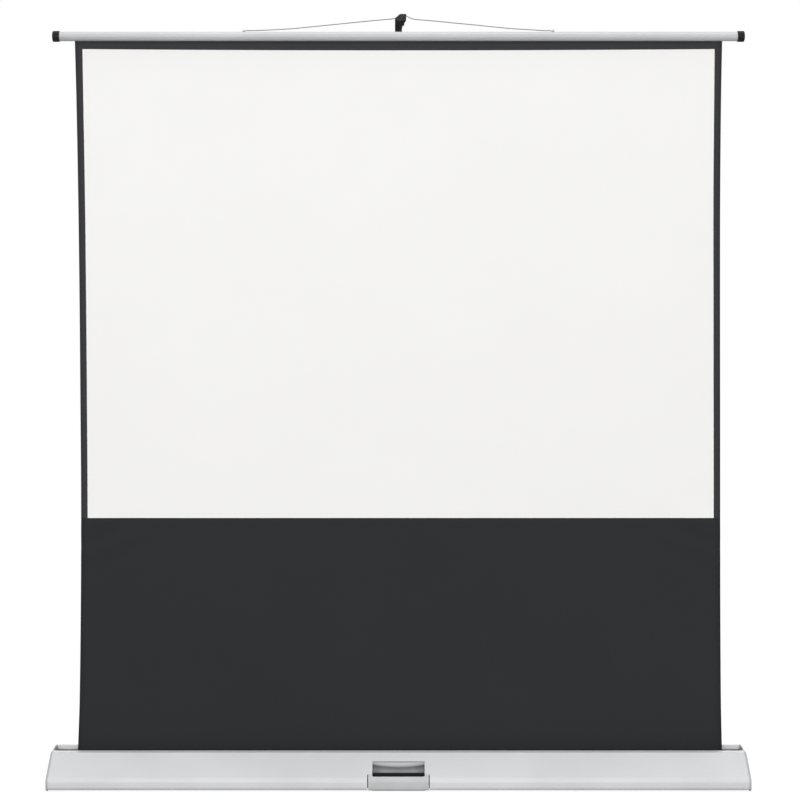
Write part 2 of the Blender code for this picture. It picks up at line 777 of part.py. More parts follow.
def make_handle_pocket(look):
    """The moulded tub behind the opening: a shallow bowed scoop, then a deep channel for the fingers."""
    half = OPENING_WIDTH / 2 + POCKET_DROP
    floor_half = half - POCKET_SIDE_DRAFT
    inner = [floor_half * share for share in POCKET_COLUMN_SHARES] + [floor_half]
    right = inner + [half, half + POCKET_FLANGE]
    columns = [-across for across in reversed(right[1:])] + right
    bm = bmesh.new()
    grid = []
    for across in columns:
        line = []
        for index, (along, depth) in enumerate(pocket_section(across)):
            if abs(across) > floor_half:
                behind_grip = along > GRIP_START - POCKET_WALL
                depth = GRIP_WALL + 2 * FIT_GAP if behind_grip else CASE_WALL + FIT_GAP
            place = slope_point(along, -depth)
            line.append(bm.verts.new((across, place.x + SCREEN_Y, place.y)))
        grid.append(line)
    for left, right_line in zip(grid, grid[1:]):
        for low in range(len(left) - 1):
            bm.faces.new((left[low], left[low + 1], right_line[low + 1], right_line[low]))
    pocket = piece("handle_pocket", bm, look, smooth=True)
    outward = pocket.data.polygons[0].normal.z
    thicken = pocket.modifiers.new("wall", "SOLIDIFY")
    thicken.thickness = POCKET_WALL
    thicken.offset = -1 if outward > 0 else 1
    thicken.use_even_offset = True
    return pocket


def make_end_cap(name, side, look):
    """A moulded end plate with the outline of the case, a notch for the bar's cap and sunk screw holes."""
    outer = side * CASE_LENGTH / 2
    inner = side * (CASE_LENGTH / 2 - CAP_WALL)
    fold = slope_point((LIP_REACH - KINK_REACH) / -SLOPE.x, CAP_PROUD)
    outline = rounded(
        [
            (-LIP_REACH - CAP_PROUD, CAP_BOTTOM, LIP_ROUND),
            (WALL_REACH + CAP_PROUD, CAP_BOTTOM, CAP_EDGE_ROUND),
            (WALL_REACH + CAP_PROUD, WALL_TOP + CAP_PROUD, CAP_EDGE_ROUND),
            (-KINK_REACH, KINK_Z + CAP_PROUD, CAP_EDGE_ROUND),
            (-LIP_REACH - CAP_PROUD, fold.y, FOLD_ROUND),
        ]
    )
    cap = piece(name, rimmed_plate(outline, inner, outer, CAP_RIM_ROUND), look, smooth=True)
    notch_radius = BAR_CAP_RADIUS + CAP_NOTCH_GAP
    notch = arc((0, BAR_STOWED_Z), notch_radius, math.pi, math.tau, 2 * ARC_STEPS)
    notch = notch + [Vector((notch_radius, WALL_TOP + OVERRUN)), Vector((-notch_radius, WALL_TOP + OVERRUN))]
    notch_end = inner + side * CAP_NOTCH_DEPTH
    notch_start = inner - side * OVERRUN
    cut(cap, prism(notch, "X", min(notch_start, notch_end), max(notch_start, notch_end)), f"{name}_notch")
    for index, port in enumerate((front_port(), ledge_port(), heel_port()), 1):
        seat = (outer - side * SUNK_DEPTH, *port)
        cut(cap, screw_hole(seat, (-side, 0, 0), CAP_WALL, SUNK_DEPTH), f"{name}_screw_hole_{index}")
    return cap


def make_case(looks):
    tray = make_base_tray(looks["aluminium"])
    make_front_cover(looks["aluminium"])
    make_handle_grip(looks["grip"])
    make_handle_pocket(looks["pocket"])
    count = 0
    for name, side in (("end_cap_left", -1), ("end_cap_right", 1)):
        make_end_cap(name, side, looks["end_cap"])
        for port in (front_port(), ledge_port(), heel_port()):
            count += 1
            seat = (side * (CASE_LENGTH / 2 - SUNK_DEPTH + FIT_GAP), *port)
            pan_screw(f"end_cap_screw_{count}", seat, (-side, 0, 0), CAP_SCREW_LENGTH, looks["steel"])
    for index, across in enumerate((-GRIP_SCREW_X, GRIP_SCREW_X), 1):
        seat = (across, -GRIP_FLANGE_REACH - GRIP_SCREW_INSET, PAD_HEIGHT - FIT_GAP)
        pan_screw(f"handle_screw_{index}", seat, (0, 0, 1), SHORT_SCREW_LENGTH, looks["steel"])
        cut(tray, screw_hole(seat, (0, 0, 1), CASE_WALL + OVERRUN), f"tray_handle_hole_{index}")
    make_pads(looks["rubber"])
    return tray


def make_pads(look):
    half_length = PAD_LENGTH / 2
    half_width = PAD_WIDTH / 2
    pad_x = CASE_LENGTH / 2 - PAD_END_INSET
    index = 0
    for reach in (PAD_FRONT_INSET - LIP_REACH, WALL_REACH - PAD_REAR_INSET):
        for across in (-pad_x, pad_x):
            index += 1
            outline = rounded(
                [
                    (across - half_length, reach - half_width, PAD_ROUND),
                    (across + half_length, reach - half_width, PAD_ROUND),
                    (across + half_length, reach + half_width, PAD_ROUND),
                    (across - half_length, reach + half_width, PAD_ROUND),
                ]
            )
            piece(f"foot_pad_{index}", prism(outline, "Z", 0, PAD_HEIGHT - FIT_GAP), look, smooth=True)


# Roller
def make_roller(looks, tray):
    centre = (0, ROLLER_REACH, ROLLER_Z)
    axis = axis_empty("roller_axis", (0, ROLLER_REACH + SCREEN_Y, ROLLER_Z))
    half = ROLLER_LENGTH / 2
    inner = ROLLER_RADIUS - ROLLER_WALL
    ring = [(inner, -half), (ROLLER_RADIUS, -half), (ROLLER_RADIUS, half), (inner, half)]
    piece("roller_tube", turned(ring, centre, (1, 0, 0), FINE_TURN_STEPS), looks["aluminium"], axis, True)
    wrap_inner = ROLLER_RADIUS + FIT_GAP
    cloth = FABRIC_WIDTH / 2
    wrap = [(wrap_inner, -cloth), (WRAP_RADIUS, -cloth), (WRAP_RADIUS, cloth), (wrap_inner, cloth)]
    piece("roller_wrap", turned(wrap, centre, (1, 0, 0), FINE_TURN_STEPS), looks["fabric"], axis, True)
    bore = PIVOT_PIN_RADIUS + BEARING_GAP
    spigot = inner - FIT_GAP
    flange = ROLLER_RADIUS + PLUG_FLANGE_RISE
    plug = [
        (bore, half + FIT_GAP + PLUG_FLANGE),
        (flange, half + FIT_GAP + PLUG_FLANGE),
        (flange, half + FIT_GAP),
        (spigot, half + FIT_GAP),
        (spigot, half + PLUG_FLANGE - PLUG_LENGTH),
        (bore, half + PLUG_FLANGE - PLUG_LENGTH),
    ]
    for name, side in (("roller_plug_left", -1), ("roller_plug_right", 1)):
        piece(name, turned(plug, centre, (side, 0, 0)), looks["black"], axis, True)
    make_spring(looks["steel"], axis)
    make_roller_supports(looks, tray)


def make_spring(look, axis):
    """The lift spring: an open coil between the right plug and the shaft's anchor."""
    start = ROLLER_LENGTH / 2 + PLUG_FLANGE - PLUG_LENGTH - FIT_GAP - SPRING_WIRE_RADIUS
    end = anchor_x() + ANCHOR_LENGTH + FIT_GAP + SPRING_WIRE_RADIUS
    curve = bpy.data.curves.new("roller_spring", "CURVE")
    curve.dimensions = "3D"
    curve.bevel_depth = SPRING_WIRE_RADIUS
    curve.bevel_resolution = 1
    curve.use_fill_caps = True
    line = curve.splines.new("POLY")
    count = SPRING_TURNS * SPRING_POINTS_PER_TURN
    line.points.add(count)
    coil = []
    for index in range(count + 1):
        angle = math.tau * index / SPRING_POINTS_PER_TURN
        across = start + (end - start) * index / count
        coil.append(Vector((across, SPRING_RADIUS * math.cos(angle), SPRING_RADIUS * math.sin(angle))))
        line.points[index].co = (*coil[-1], 1)
    spring = bpy.data.objects.new("roller_spring", curve)
    spring.location = (0, ROLLER_REACH + SCREEN_Y, ROLLER_Z)
    spring.data.materials.append(look)
    bpy.context.scene.collection.objects.link(spring)
    hang(spring, axis)
    turns = zip(coil, coil[SPRING_POINTS_PER_TURN:])
    least = min((later - earlier).length for earlier, later in turns) - 2 * SPRING_WIRE_RADIUS
    print("spring turns, least gap in wire diameters:", round(least / SPRING_WIRE_RADIUS / 2, 2))


def anchor_x():
    return bracket_inner_x() - SHAFT_LENGTH


def bracket_inner_x():
    return CASE_LENGTH / 2 - CAP_WALL - 2 * FIT_GAP - BRACKET_WALL


def make_roller_supports(looks, tray):
    """A pressed bracket at each end, with the idler pin on the left and the spring's shaft on the right."""
    inner = bracket_inner_x()
    half = BRACKET_WIDTH / 2
    low = FLOOR_TOP + FIT_GAP
    bore = PIN_NECK_RADIUS + FIT_GAP
    for name, side in (("left", -1), ("right", 1)):
        outline = rounded(
            [
                (ROLLER_REACH - half, low, 0),
                (ROLLER_REACH + half, low, 0),
                (ROLLER_REACH + half, ROLLER_Z + BRACKET_RISE, BRACKET_ROUND),
                (ROLLER_REACH - half, ROLLER_Z + BRACKET_RISE, BRACKET_ROUND),
            ]
        )
        plate = prism(outline, "X", min(side * inner, side * (inner + BRACKET_WALL)),
                      max(side * inner, side * (inner + BRACKET_WALL)))
        bracket = piece(f"roller_bracket_{name}", plate, looks["steel"])
        toe = side * (inner - BRACKET_FOOT)
        heel = side * (inner + BRACKET_WALL / 2)
        foot = block(
            (min(toe, heel), ROLLER_REACH - half, low),
            (max(toe, heel), ROLLER_REACH + half, low + BRACKET_WALL),
        )
        join(bracket, foot, f"roller_bracket_foot_{name}")
        hole_start = (side * (inner - OVERRUN), ROLLER_REACH, ROLLER_Z)
        hole = rod(bore, hole_start, (side, 0, 0), 2 * OVERRUN + BRACKET_WALL)
        cut(bracket, hole, f"roller_bracket_hole_{name}")
        seat = (side * (inner - BRACKET_SCREW_INSET), ROLLER_REACH, PAD_HEIGHT - FIT_GAP)
        pan_screw(f"roller_bracket_screw_{name}", seat, (0, 0, 1), SHORT_SCREW_LENGTH, looks["steel"])
        cut(bracket, screw_hole(seat, (0, 0, 1), SHORT_SCREW_LENGTH), f"roller_bracket_screw_hole_{name}")
        cut(tray, screw_hole(seat, (0, 0, 1), CASE_WALL + OVERRUN), f"tray_bracket_hole_{name}")
    neck = [(0, BRACKET_WALL), (PIN_NECK_RADIUS, BRACKET_WALL), (PIN_NECK_RADIUS, -FIT_GAP)]
    shoulder = [
        (PIN_SHOULDER_RADIUS, -FIT_GAP),
        (PIN_SHOULDER_RADIUS, -FIT_GAP - PIN_SHOULDER),
        (PIVOT_PIN_RADIUS, -FIT_GAP - PIN_SHOULDER),
    ]
    plug_inner = ROLLER_LENGTH / 2 + PLUG_FLANGE - PLUG_LENGTH
    pin_end = plug_inner - inner
    pin = neck + shoulder + [(PIVOT_PIN_RADIUS, pin_end), (0, pin_end)]
    idler = turned(pin, (-inner, ROLLER_REACH, ROLLER_Z), (-1, 0, 0))
    piece("idler_pin", idler, looks["steel"], smooth=True)
    anchor = anchor_x() - inner
    anchor_radius = ROLLER_RADIUS - ROLLER_WALL - ANCHOR_GAP
    shaft = neck + shoulder + [
        (PIVOT_PIN_RADIUS, anchor + ANCHOR_LENGTH),
        (anchor_radius, anchor + ANCHOR_LENGTH),
        (anchor_radius, anchor),
        (0, anchor),
    ]
    long_pin = turned(shaft, (inner, ROLLER_REACH, ROLLER_Z), (1, 0, 0))
    piece("spring_shaft", long_pin, looks["steel"], smooth=True)


# Fabric and the bar that lifts it
def fabric_half_width(height, low, high):
    """Half the width of the hanging fabric: its edges draw in between the bar and the case."""
    share = (height - low) / (high - low)
    return FABRIC_WIDTH / 2 - FABRIC_EDGE_DRAW * 4 * share * (1 - share)


def make_fabric(look):
    low = ROLLER_Z
    high = BAR_AXIS_Z - BAR_RADIUS + BAR_WALL
    right = []
    for row in range(FABRIC_ROWS + 1):
        height = low + (high - low) * row / FABRIC_ROWS
        right.append((fabric_half_width(height, low, high), height))
    outline = right + [(-across, height) for across, height in reversed(right)]
    piece("screen_fabric", prism(outline, "Y", -FABRIC_THICK / 2, FABRIC_THICK / 2), look)


def make_top_bar(looks):
    centre = (0, 0, BAR_AXIS_Z)
    axis = axis_empty("screen_lift_axis", (0, SCREEN_Y, BAR_AXIS_Z))
    inner = BAR_RADIUS - BAR_WALL
    slot = math.asin(BAR_SLOT_WIDTH / 2 / BAR_RADIUS)
    start = -math.pi / 2 + slot
    end = math.pi * 1.5 - slot
    outline = arc((0, BAR_AXIS_Z), BAR_RADIUS, start, end, FINE_TURN_STEPS)
    outline = outline + arc((0, BAR_AXIS_Z), inner, end, start, FINE_TURN_STEPS)
    slotted = prism(outline, "X", -BAR_TUBE_HALF, BAR_TUBE_HALF)
    tube = piece("top_bar_tube", slotted, looks["aluminium"], axis, True)
    bore = BAR_RADIUS + FIT_GAP
    end_x = BAR_LENGTH / 2
    cup = [
        (0, end_x - BAR_CAP_END),
        (bore, end_x - BAR_CAP_END),
        (bore, end_x - BAR_CAP_LENGTH),
        (BAR_CAP_RADIUS, end_x - BAR_CAP_LENGTH),
    ]
    corner = (BAR_CAP_RADIUS - BAR_CAP_ROUND, end_x - BAR_CAP_ROUND)
    cup = cup + arc(corner, BAR_CAP_ROUND, 0, math.pi / 2, RIM_STEPS) + [(0, end_x)]
    for name, side in (("top_bar_cap_left", -1), ("top_bar_cap_right", 1)):
        piece(name, turned(cup, centre, (side, 0, 0), FINE_TURN_STEPS), looks["black"], axis, True)
    rod_z = BAR_AXIS_Z - inner + FIT_GAP + HEM_ROD_RADIUS
    hem = rod(HEM_ROD_RADIUS, (-FABRIC_WIDTH / 2, 0, rod_z), (1, 0, 0), FABRIC_WIDTH, PIN_STEPS)
    piece("hem_rod", hem, looks["white"], axis, True)
    make_eyelets(tube, axis, looks["black"])
    make_cord(axis, looks["cord"])


def make_eyelets(tube, axis, look):
    """Moulded buttons on top of the bar; the cord's ends run into their sides."""
    top = BAR_AXIS_Z + BAR_RADIUS
    sag = BAR_RADIUS - math.sqrt(BAR_RADIUS ** 2 - EYELET_RADIUS ** 2)
    seat = FIT_GAP
    for name, side in (("left", -1), ("right", 1)):
        across = side * EYELET_X
        profile = [
            (0, -EYELET_SHANK),
            (EYELET_SHANK_RADIUS, -EYELET_SHANK),
            (EYELET_SHANK_RADIUS, seat),
            (EYELET_RADIUS, seat),
            (EYELET_RADIUS, seat + EYELET_FLANGE),
            (EYELET_NECK_RADIUS, seat + 2 * EYELET_FLANGE),
            (EYELET_NECK_RADIUS, seat + EYELET_HEIGHT - EYELET_FLANGE),
            (EYELET_NECK_RADIUS - EYELET_FLANGE, seat + EYELET_HEIGHT),
            (0, seat + EYELET_HEIGHT),
        ]
        button = turned(profile, (across, 0, top), (0, 0, 1), PIN_STEPS)
        piece(f"cord_eyelet_{name}", button, look, axis, True)
        hole_start = (across, 0, top - 2 * EYELET_SHANK_RADIUS - sag)
        hole = rod(EYELET_SHANK_RADIUS + FIT_GAP, hole_start, (0, 0, 1), EYELET_SHANK + OVERRUN, PIN_STEPS)
        cut(tube, hole, f"top_bar_eyelet_hole_{name}")


def smooth_route(knots, count):
    """Evenly spaced points on a smooth curve through the knots."""
    fine = []
    for index in range(len(knots) - 1):
        before = Vector(knots[max(index - 1, 0)])
        start = Vector(knots[index])
        end = Vector(knots[index + 1])
        after = Vector(knots[min(index + 2, len(knots) - 1)])
        for step in range(ROUTE_STEPS):
            t = step / ROUTE_STEPS
            span = (end - start).length
            leave = (end - before) * (span / max((end - before).length, MERGE))
            arrive = (after - start) * (span / max((after - start).length, MERGE))
            place = start * (2 * t ** 3 - 3 * t ** 2 + 1) + leave * (t ** 3 - 2 * t ** 2 + t)
            place = place + end * (3 * t ** 2 - 2 * t ** 3) + arrive * (t ** 3 - t ** 2)
            fine.append(place)
    fine.append(Vector(knots[-1]))
    lengths = [0]
    for start, end in zip(fine, fine[1:]):
        lengths.append(lengths[-1] + (end - start).length)
    even = []
    reached = 0
    for index in range(count):
        wanted = lengths[-1] * index / (count - 1)
        while reached < len(fine) - 2 and lengths[reached + 1] < wanted:
            reached += 1
        share = (wanted - lengths[reached]) / (lengths[reached + 1] - lengths[reached])
        even.append(fine[reached].lerp(fine[reached + 1], share))
    return even


def make_cord(axis, look):
    curve = bpy.data.curves.new("hanging_cord", "CURVE")
    curve.dimensions = "3D"
    curve.bevel_depth = CORD_RADIUS
    curve.bevel_resolution = 2
    curve.use_fill_caps = True
    line = curve.splines.new("POLY")
    route = smooth_route(CORD_ROUTE, CORD_POINTS)
    line.points.add(len(route) - 1)
    for point, place in zip(line.points, route):
        point.co = (*place, 1)
    cord = bpy.data.objects.new("hanging_cord", curve)
    cord.location = (0, SCREEN_Y, BAR_AXIS_Z)
    cord.data.materials.append(look)
    bpy.context.scene.collection.objects.link(cord)
    hang(cord, axis)


# Mast
def mast_tube(name, radius, low, high, look, parent):
    inner = radius - MAST_WALL
    ring = [(inner, low), (radius, low), (radius, high), (inner, high)]
    return piece(name, turned(ring, (0, MAST_REACH, 0), (0, 0, 1), FINE_TURN_STEPS), look, parent, True)


def glide(name, tube_radius, low, outer_radius, look, parent):
    """A plastic bush in the bottom end of a mast tube, running in the tube around it."""
    spigot = tube_radius - MAST_WALL - FIT_GAP
    profile = [
        (0, low - FIT_GAP - GLIDE_FLANGE),
        (outer_radius, low - FIT_GAP - GLIDE_FLANGE),
        (outer_radius, low - FIT_GAP),
        (spigot, low - FIT_GAP),
        (spigot, low + GLIDE_SPIGOT),
        (0, low + GLIDE_SPIGOT),
    ]
    return piece(name, turned(profile, (0, MAST_REACH, 0), (0, 0, 1), FINE_TURN_STEPS), look, parent, True)


def collar_radius(tube_radius):
    return tube_radius + SLIDE_GAP + COLLAR_WALL


def hinge_x(tube_radius):
    return -(collar_radius(tube_radius) + HINGE_OFFSET)


def make_clamp(prefix, tube_radius, inner_radius, tube_top, looks, parent):
    """A collar that clamps the thinner tube where it leaves the thicker one, closed by a cam lever."""
    low = tube_top - COLLAR_BELOW_TUBE
    high = low + COLLAR_HEIGHT
    outer = collar_radius(tube_radius)
    bore = tube_radius + SLIDE_GAP
    throat = inner_radius + SLIDE_GAP
    profile = [
        (bore, low),
        (outer - COLLAR_ROUND, low),
        (outer, low + COLLAR_ROUND),
        (outer, high - COLLAR_ROUND),
        (outer - COLLAR_ROUND, high),
        (throat, high),
        (throat, tube_top + FIT_GAP),
        (bore, tube_top + FIT_GAP),
    ]
    ring = turned(profile, (0, MAST_REACH, 0), (0, 0, 1), FINE_TURN_STEPS)
    collar = piece(f"{prefix}_collar", ring, looks["black"], parent, True)
    hinge = hinge_x(tube_radius)
    middle = (bore + outer) / 2
    for level, start in (("low", low), ("high", high - EAR_HEIGHT)):
        outline = [Vector((-middle, -EAR_RADIUS)), Vector((-middle, EAR_RADIUS))]
        outline = outline + arc((hinge, 0), EAR_RADIUS, math.pi / 2, math.pi * 1.5, 2 * ARC_STEPS)
        outline = [(point.x, point.y + MAST_REACH) for point in outline]
        join(collar, prism(outline, "Z", start, start + EAR_HEIGHT), f"{prefix}_collar_ear_{level}")
    pin_hole = rod(HINGE_PIN_RADIUS + FIT_GAP, (hinge, MAST_REACH, low - OVERRUN), (0, 0, 1),
                   COLLAR_HEIGHT + 2 * OVERRUN, PIN_STEPS)
    cut(collar, pin_hole, f"{prefix}_collar_pin_hole")
    pin = rod(HINGE_PIN_RADIUS, (hinge, MAST_REACH, low), (0, 0, 1), COLLAR_HEIGHT, PIN_STEPS)
    piece(f"{prefix}_collar_pin", pin, looks["steel"], parent, True)
    lever_axis = axis_empty(f"{prefix}_lever_axis", (hinge, MAST_REACH + SCREEN_Y, (low + high) / 2))
    lever_low = low + EAR_HEIGHT + FIT_GAP
    lever_high = high - EAR_HEIGHT - FIT_GAP
    face = outer + LEVER_GAP
    back = face + LEVER_THICK
    inner_arc = arc((0, 0), face, LEVER_SWEEP_START, LEVER_SWEEP_END, LEVER_STEPS)
    outer_arc = arc((0, 0), back, LEVER_SWEEP_END, LEVER_SWEEP_START, LEVER_STEPS)
    tip = Vector((math.cos(LEVER_SWEEP_END), math.sin(LEVER_SWEEP_END)))
    inner_arc[-1] = inner_arc[-1] + tip * LEVER_TIP_FLARE
    outer_arc[0] = outer_arc[0] + tip * LEVER_TIP_FLARE
    outline = [(point.x, point.y + MAST_REACH) for point in inner_arc + outer_arc]
    arm = prism(outline, "Z", lever_low, lever_high)
    lever = piece(f"{prefix}_lever", arm, looks["black"], lever_axis, True)
    hub = rod(EAR_RADIUS, (hinge, MAST_REACH, lever_low), (0, 0, 1), lever_high - lever_low, PIN_STEPS)
    join(lever, hub, f"{prefix}_lever_hub")
    bore_cut = rod(HINGE_PIN_RADIUS + FIT_GAP, (hinge, MAST_REACH, lever_low - OVERRUN), (0, 0, 1),
                   COLLAR_HEIGHT, PIN_STEPS)
    cut(lever, bore_cut, f"{prefix}_lever_bore")


def make_mast(looks):
    fold = axis_empty("mast_fold_axis", (0, MAST_REACH + SCREEN_Y, PIVOT_Z))
    lower = mast_tube("mast_lower_tube", LOWER_RADIUS, LOWER_BOTTOM, LOWER_TOP, looks["aluminium"], fold)
    spigot = LOWER_RADIUS - MAST_WALL - FIT_GAP
    profile = [
        (0, LOWER_BOTTOM - FIT_GAP - FOOT_FLANGE),
        (LOWER_RADIUS, LOWER_BOTTOM - FIT_GAP - FOOT_FLANGE),
        (LOWER_RADIUS, LOWER_BOTTOM - FIT_GAP),
        (spigot, LOWER_BOTTOM - FIT_GAP),
        (spigot, LOWER_BOTTOM + FOOT_SPIGOT),
        (0, LOWER_BOTTOM + FOOT_SPIGOT),
    ]
    foot_shape = turned(profile, (0, MAST_REACH, 0), (0, 0, 1), FINE_TURN_STEPS)
    foot = piece("mast_foot", foot_shape, looks["black"], fold, True)
    for target, label in ((lower, "lower_tube"), (foot, "foot")):
        cut(target, bolt_hole(MAST_REACH - LOWER_RADIUS, 2 * LOWER_RADIUS), f"{label}_bolt_hole")
    make_clamp("lower", LOWER_RADIUS, MIDDLE_RADIUS, LOWER_TOP, looks, fold)
    middle = axis_empty("middle_slide_axis", (0, MAST_REACH + SCREEN_Y, MIDDLE_BOTTOM))
    mast_tube("mast_middle_tube", MIDDLE_RADIUS, MIDDLE_BOTTOM, MIDDLE_TOP, looks["aluminium"], middle)
    middle_run = LOWER_RADIUS - MAST_WALL - SLIDE_GAP
    glide("middle_glide", MIDDLE_RADIUS, MIDDLE_BOTTOM, middle_run, looks["black"], middle)
    make_clamp("upper", MIDDLE_RADIUS, UPPER_RADIUS, MIDDLE_TOP, looks, middle)
    upper = axis_empty("upper_slide_axis", (0, MAST_REACH + SCREEN_Y, UPPER_BOTTOM))
    mast_tube("mast_upper_tube", UPPER_RADIUS, UPPER_BOTTOM, UPPER_TOP, looks["aluminium"], upper)
    upper_run = MIDDLE_RADIUS - MAST_WALL - SLIDE_GAP
    glide("upper_glide", UPPER_RADIUS, UPPER_BOTTOM, upper_run, looks["black"], upper)
    make_hook(looks["black"], upper)


def hook_head_outline():
    """The head seen from the front: a low left shoulder, a flat top, and a toe under its right side."""
    across = 2 * HOOK_STEM_HALF
    rise = HOOK_TOP - HOOK_STEM_LOW
    corners = []
    for across_share, rise_share, round_share in HEAD_SHARES:
        place_x = -HOOK_STEM_HALF + across * across_share
        corners.append((place_x, HOOK_STEM_LOW + rise * rise_share, across * round_share))
    return rounded(corners, steps=HEAD_STEPS)


def make_hook(look, parent):
    """Two plates with the cord's groove between them, a boss on the mast and a spigot in its tube."""
    front = HOOK_FRONT_REACH
    back = front + HOOK_PLATE
    head = hook_head_outline()
    hook = piece("mast_hook", prism(head, "Y", front, back), look, parent)
    shelf = shelf_outline()
    join(hook, prism(shelf, "Y", back - HOOK_PLATE / 2, MAST_REACH), "hook_shelf")
    groove_back = back + HOOK_GROOVE
    join(hook, prism(head, "Y", groove_back, groove_back + HOOK_PLATE), "hook_back_plate")
    boss_low = UPPER_TOP + FIT_GAP
    inner = UPPER_RADIUS - MAST_WALL - FIT_GAP
    profile = [
        (0, UPPER_TOP - HOOK_SPIGOT),
        (inner, UPPER_TOP - HOOK_SPIGOT),
        (inner, boss_low),
        (HOOK_STEM_HALF - HOOK_BOSS_STEP, boss_low),
        (HOOK_STEM_HALF - HOOK_BOSS_STEP, boss_low + HOOK_SHOULDER),
        (HOOK_STEM_HALF, boss_low + 2 * HOOK_SHOULDER),
        (HOOK_STEM_HALF, hook_boss_top()),
        (0, hook_boss_top()),
    ]
    join(hook, turned(profile, (0, MAST_REACH, 0), (0, 0, 1), FINE_TURN_STEPS), "hook_boss")
    return hook


def shelf_line(across):
    """Height of the shelf under the cord: it rises from the left shoulder to the flat top."""
    route = smooth_route(CORD_ROUTE, CORD_POINTS)
    for left, right in zip(route, route[1:]):
        if left.x <= across <= right.x:
            above_bar = left.z + (right.z - left.z) * (across - left.x) / (right.x - left.x)
            return BAR_AXIS_Z + above_bar - CORD_RADIUS - HOOK_SHELF_GAP
    return HOOK_TOP


def shelf_outline():
    left = -HOOK_STEM_HALF
    right = HOOK_STEM_HALF * 2
    top = []
    for index in range(SHELF_STEPS + 1):
        across = left + (right - left) * index / SHELF_STEPS
        top.append((across, shelf_line(across)))
    low = [(left, HOOK_SHELF_LOW), (HOOK_STEM_HALF, HOOK_SHELF_LOW), (right, shelf_line(right) - HOOK_PLATE)]
    return low + list(reversed(top))


def hook_boss_top():
    return shelf_line(-HOOK_STEM_HALF) - HOOK_SHELF_GAP


# What carries the mast
def bolt_hole(start, length):
    begin = (0, start - OVERRUN, PIVOT_Z)
    return rod(BOLT_RADIUS + BOLT_HOLE_GAP, begin, (0, 1, 0), length + 2 * OVERRUN)


def make_mast_bracket(looks, tray):
    """A pressed clevis on the rear wall. Its web stands on one side, so the mast folds to the other."""
    front = WALL_REACH + FIT_GAP
    inside = front + EAR_WALL
    rear = REAR_EAR_REACH
    plate = rounded(
        [
            (-BRACKET_PLATE_HALF, BRACKET_PLATE_LOW, BRACKET_CORNER),
            (BRACKET_PLATE_HALF, BRACKET_PLATE_LOW, BRACKET_CORNER),
            (BRACKET_PLATE_HALF, PIVOT_Z, BRACKET_CORNER),
            (LOWER_RADIUS, BRACKET_PLATE_HIGH, BRACKET_CORNER),
            (-BRACKET_PLATE_HALF, BRACKET_PLATE_HIGH, BRACKET_CORNER),
        ]
    )
    bracket = piece("mast_bracket", prism(plate, "Y", front, inside), looks["steel"])
    web_inner = -(LOWER_RADIUS + FIT_GAP)
    web_outer = web_inner - EAR_WALL
    ear_low = PIVOT_Z - REAR_EAR_DROP
    ear = rounded(
        [
            (web_outer, ear_low, BRACKET_CORNER),
            (LOWER_RADIUS, ear_low, BRACKET_CORNER),
            (LOWER_RADIUS, BRACKET_PLATE_HIGH, BRACKET_CORNER),
            (web_outer, BRACKET_PLATE_HIGH, 0),
        ]
    )
    join(bracket, prism(ear, "Y", rear, rear + EAR_WALL), "mast_bracket_ear")
    web_low = PIVOT_Z + WEB_RISE
    web_front = inside - EAR_WALL / 2
    web_rear = rear + EAR_WALL / 2
    web = block((web_outer, web_front, web_low), (web_inner, web_rear, BRACKET_PLATE_HIGH))
    join(bracket, web, "mast_bracket_web")
    cut(bracket, bolt_hole(front, rear + EAR_WALL - front), "mast_bracket_bolt_hole")
    cut(tray, bolt_hole(WALL_REACH - CASE_WALL, CASE_WALL), "tray_bolt_hole")
    screw_x = BRACKET_PLATE_HALF - BRACKET_SCREW_EDGE
    screw_low = BRACKET_PLATE_LOW + BRACKET_SCREW_MARGIN
    screw_high = BRACKET_PLATE_HIGH - BRACKET_SCREW_MARGIN
    spots = [(-screw_x, screw_low), (-screw_x, screw_high), (screw_x, screw_low)]
    for index, (across, height) in enumerate(spots, 1):
        seat = (across, inside + FIT_GAP, height)
        pan_screw(f"mast_bracket_screw_{index}", seat, (0, -1, 0), SHORT_SCREW_LENGTH, looks["steel"])
        depth = inside - WALL_REACH + CASE_WALL + OVERRUN
        cut(bracket, screw_hole(seat, (0, -1, 0), depth), f"mast_bracket_screw_hole_{index}")
        cut(tray, screw_hole(seat, (0, -1, 0), depth), f"tray_mast_screw_hole_{index}")


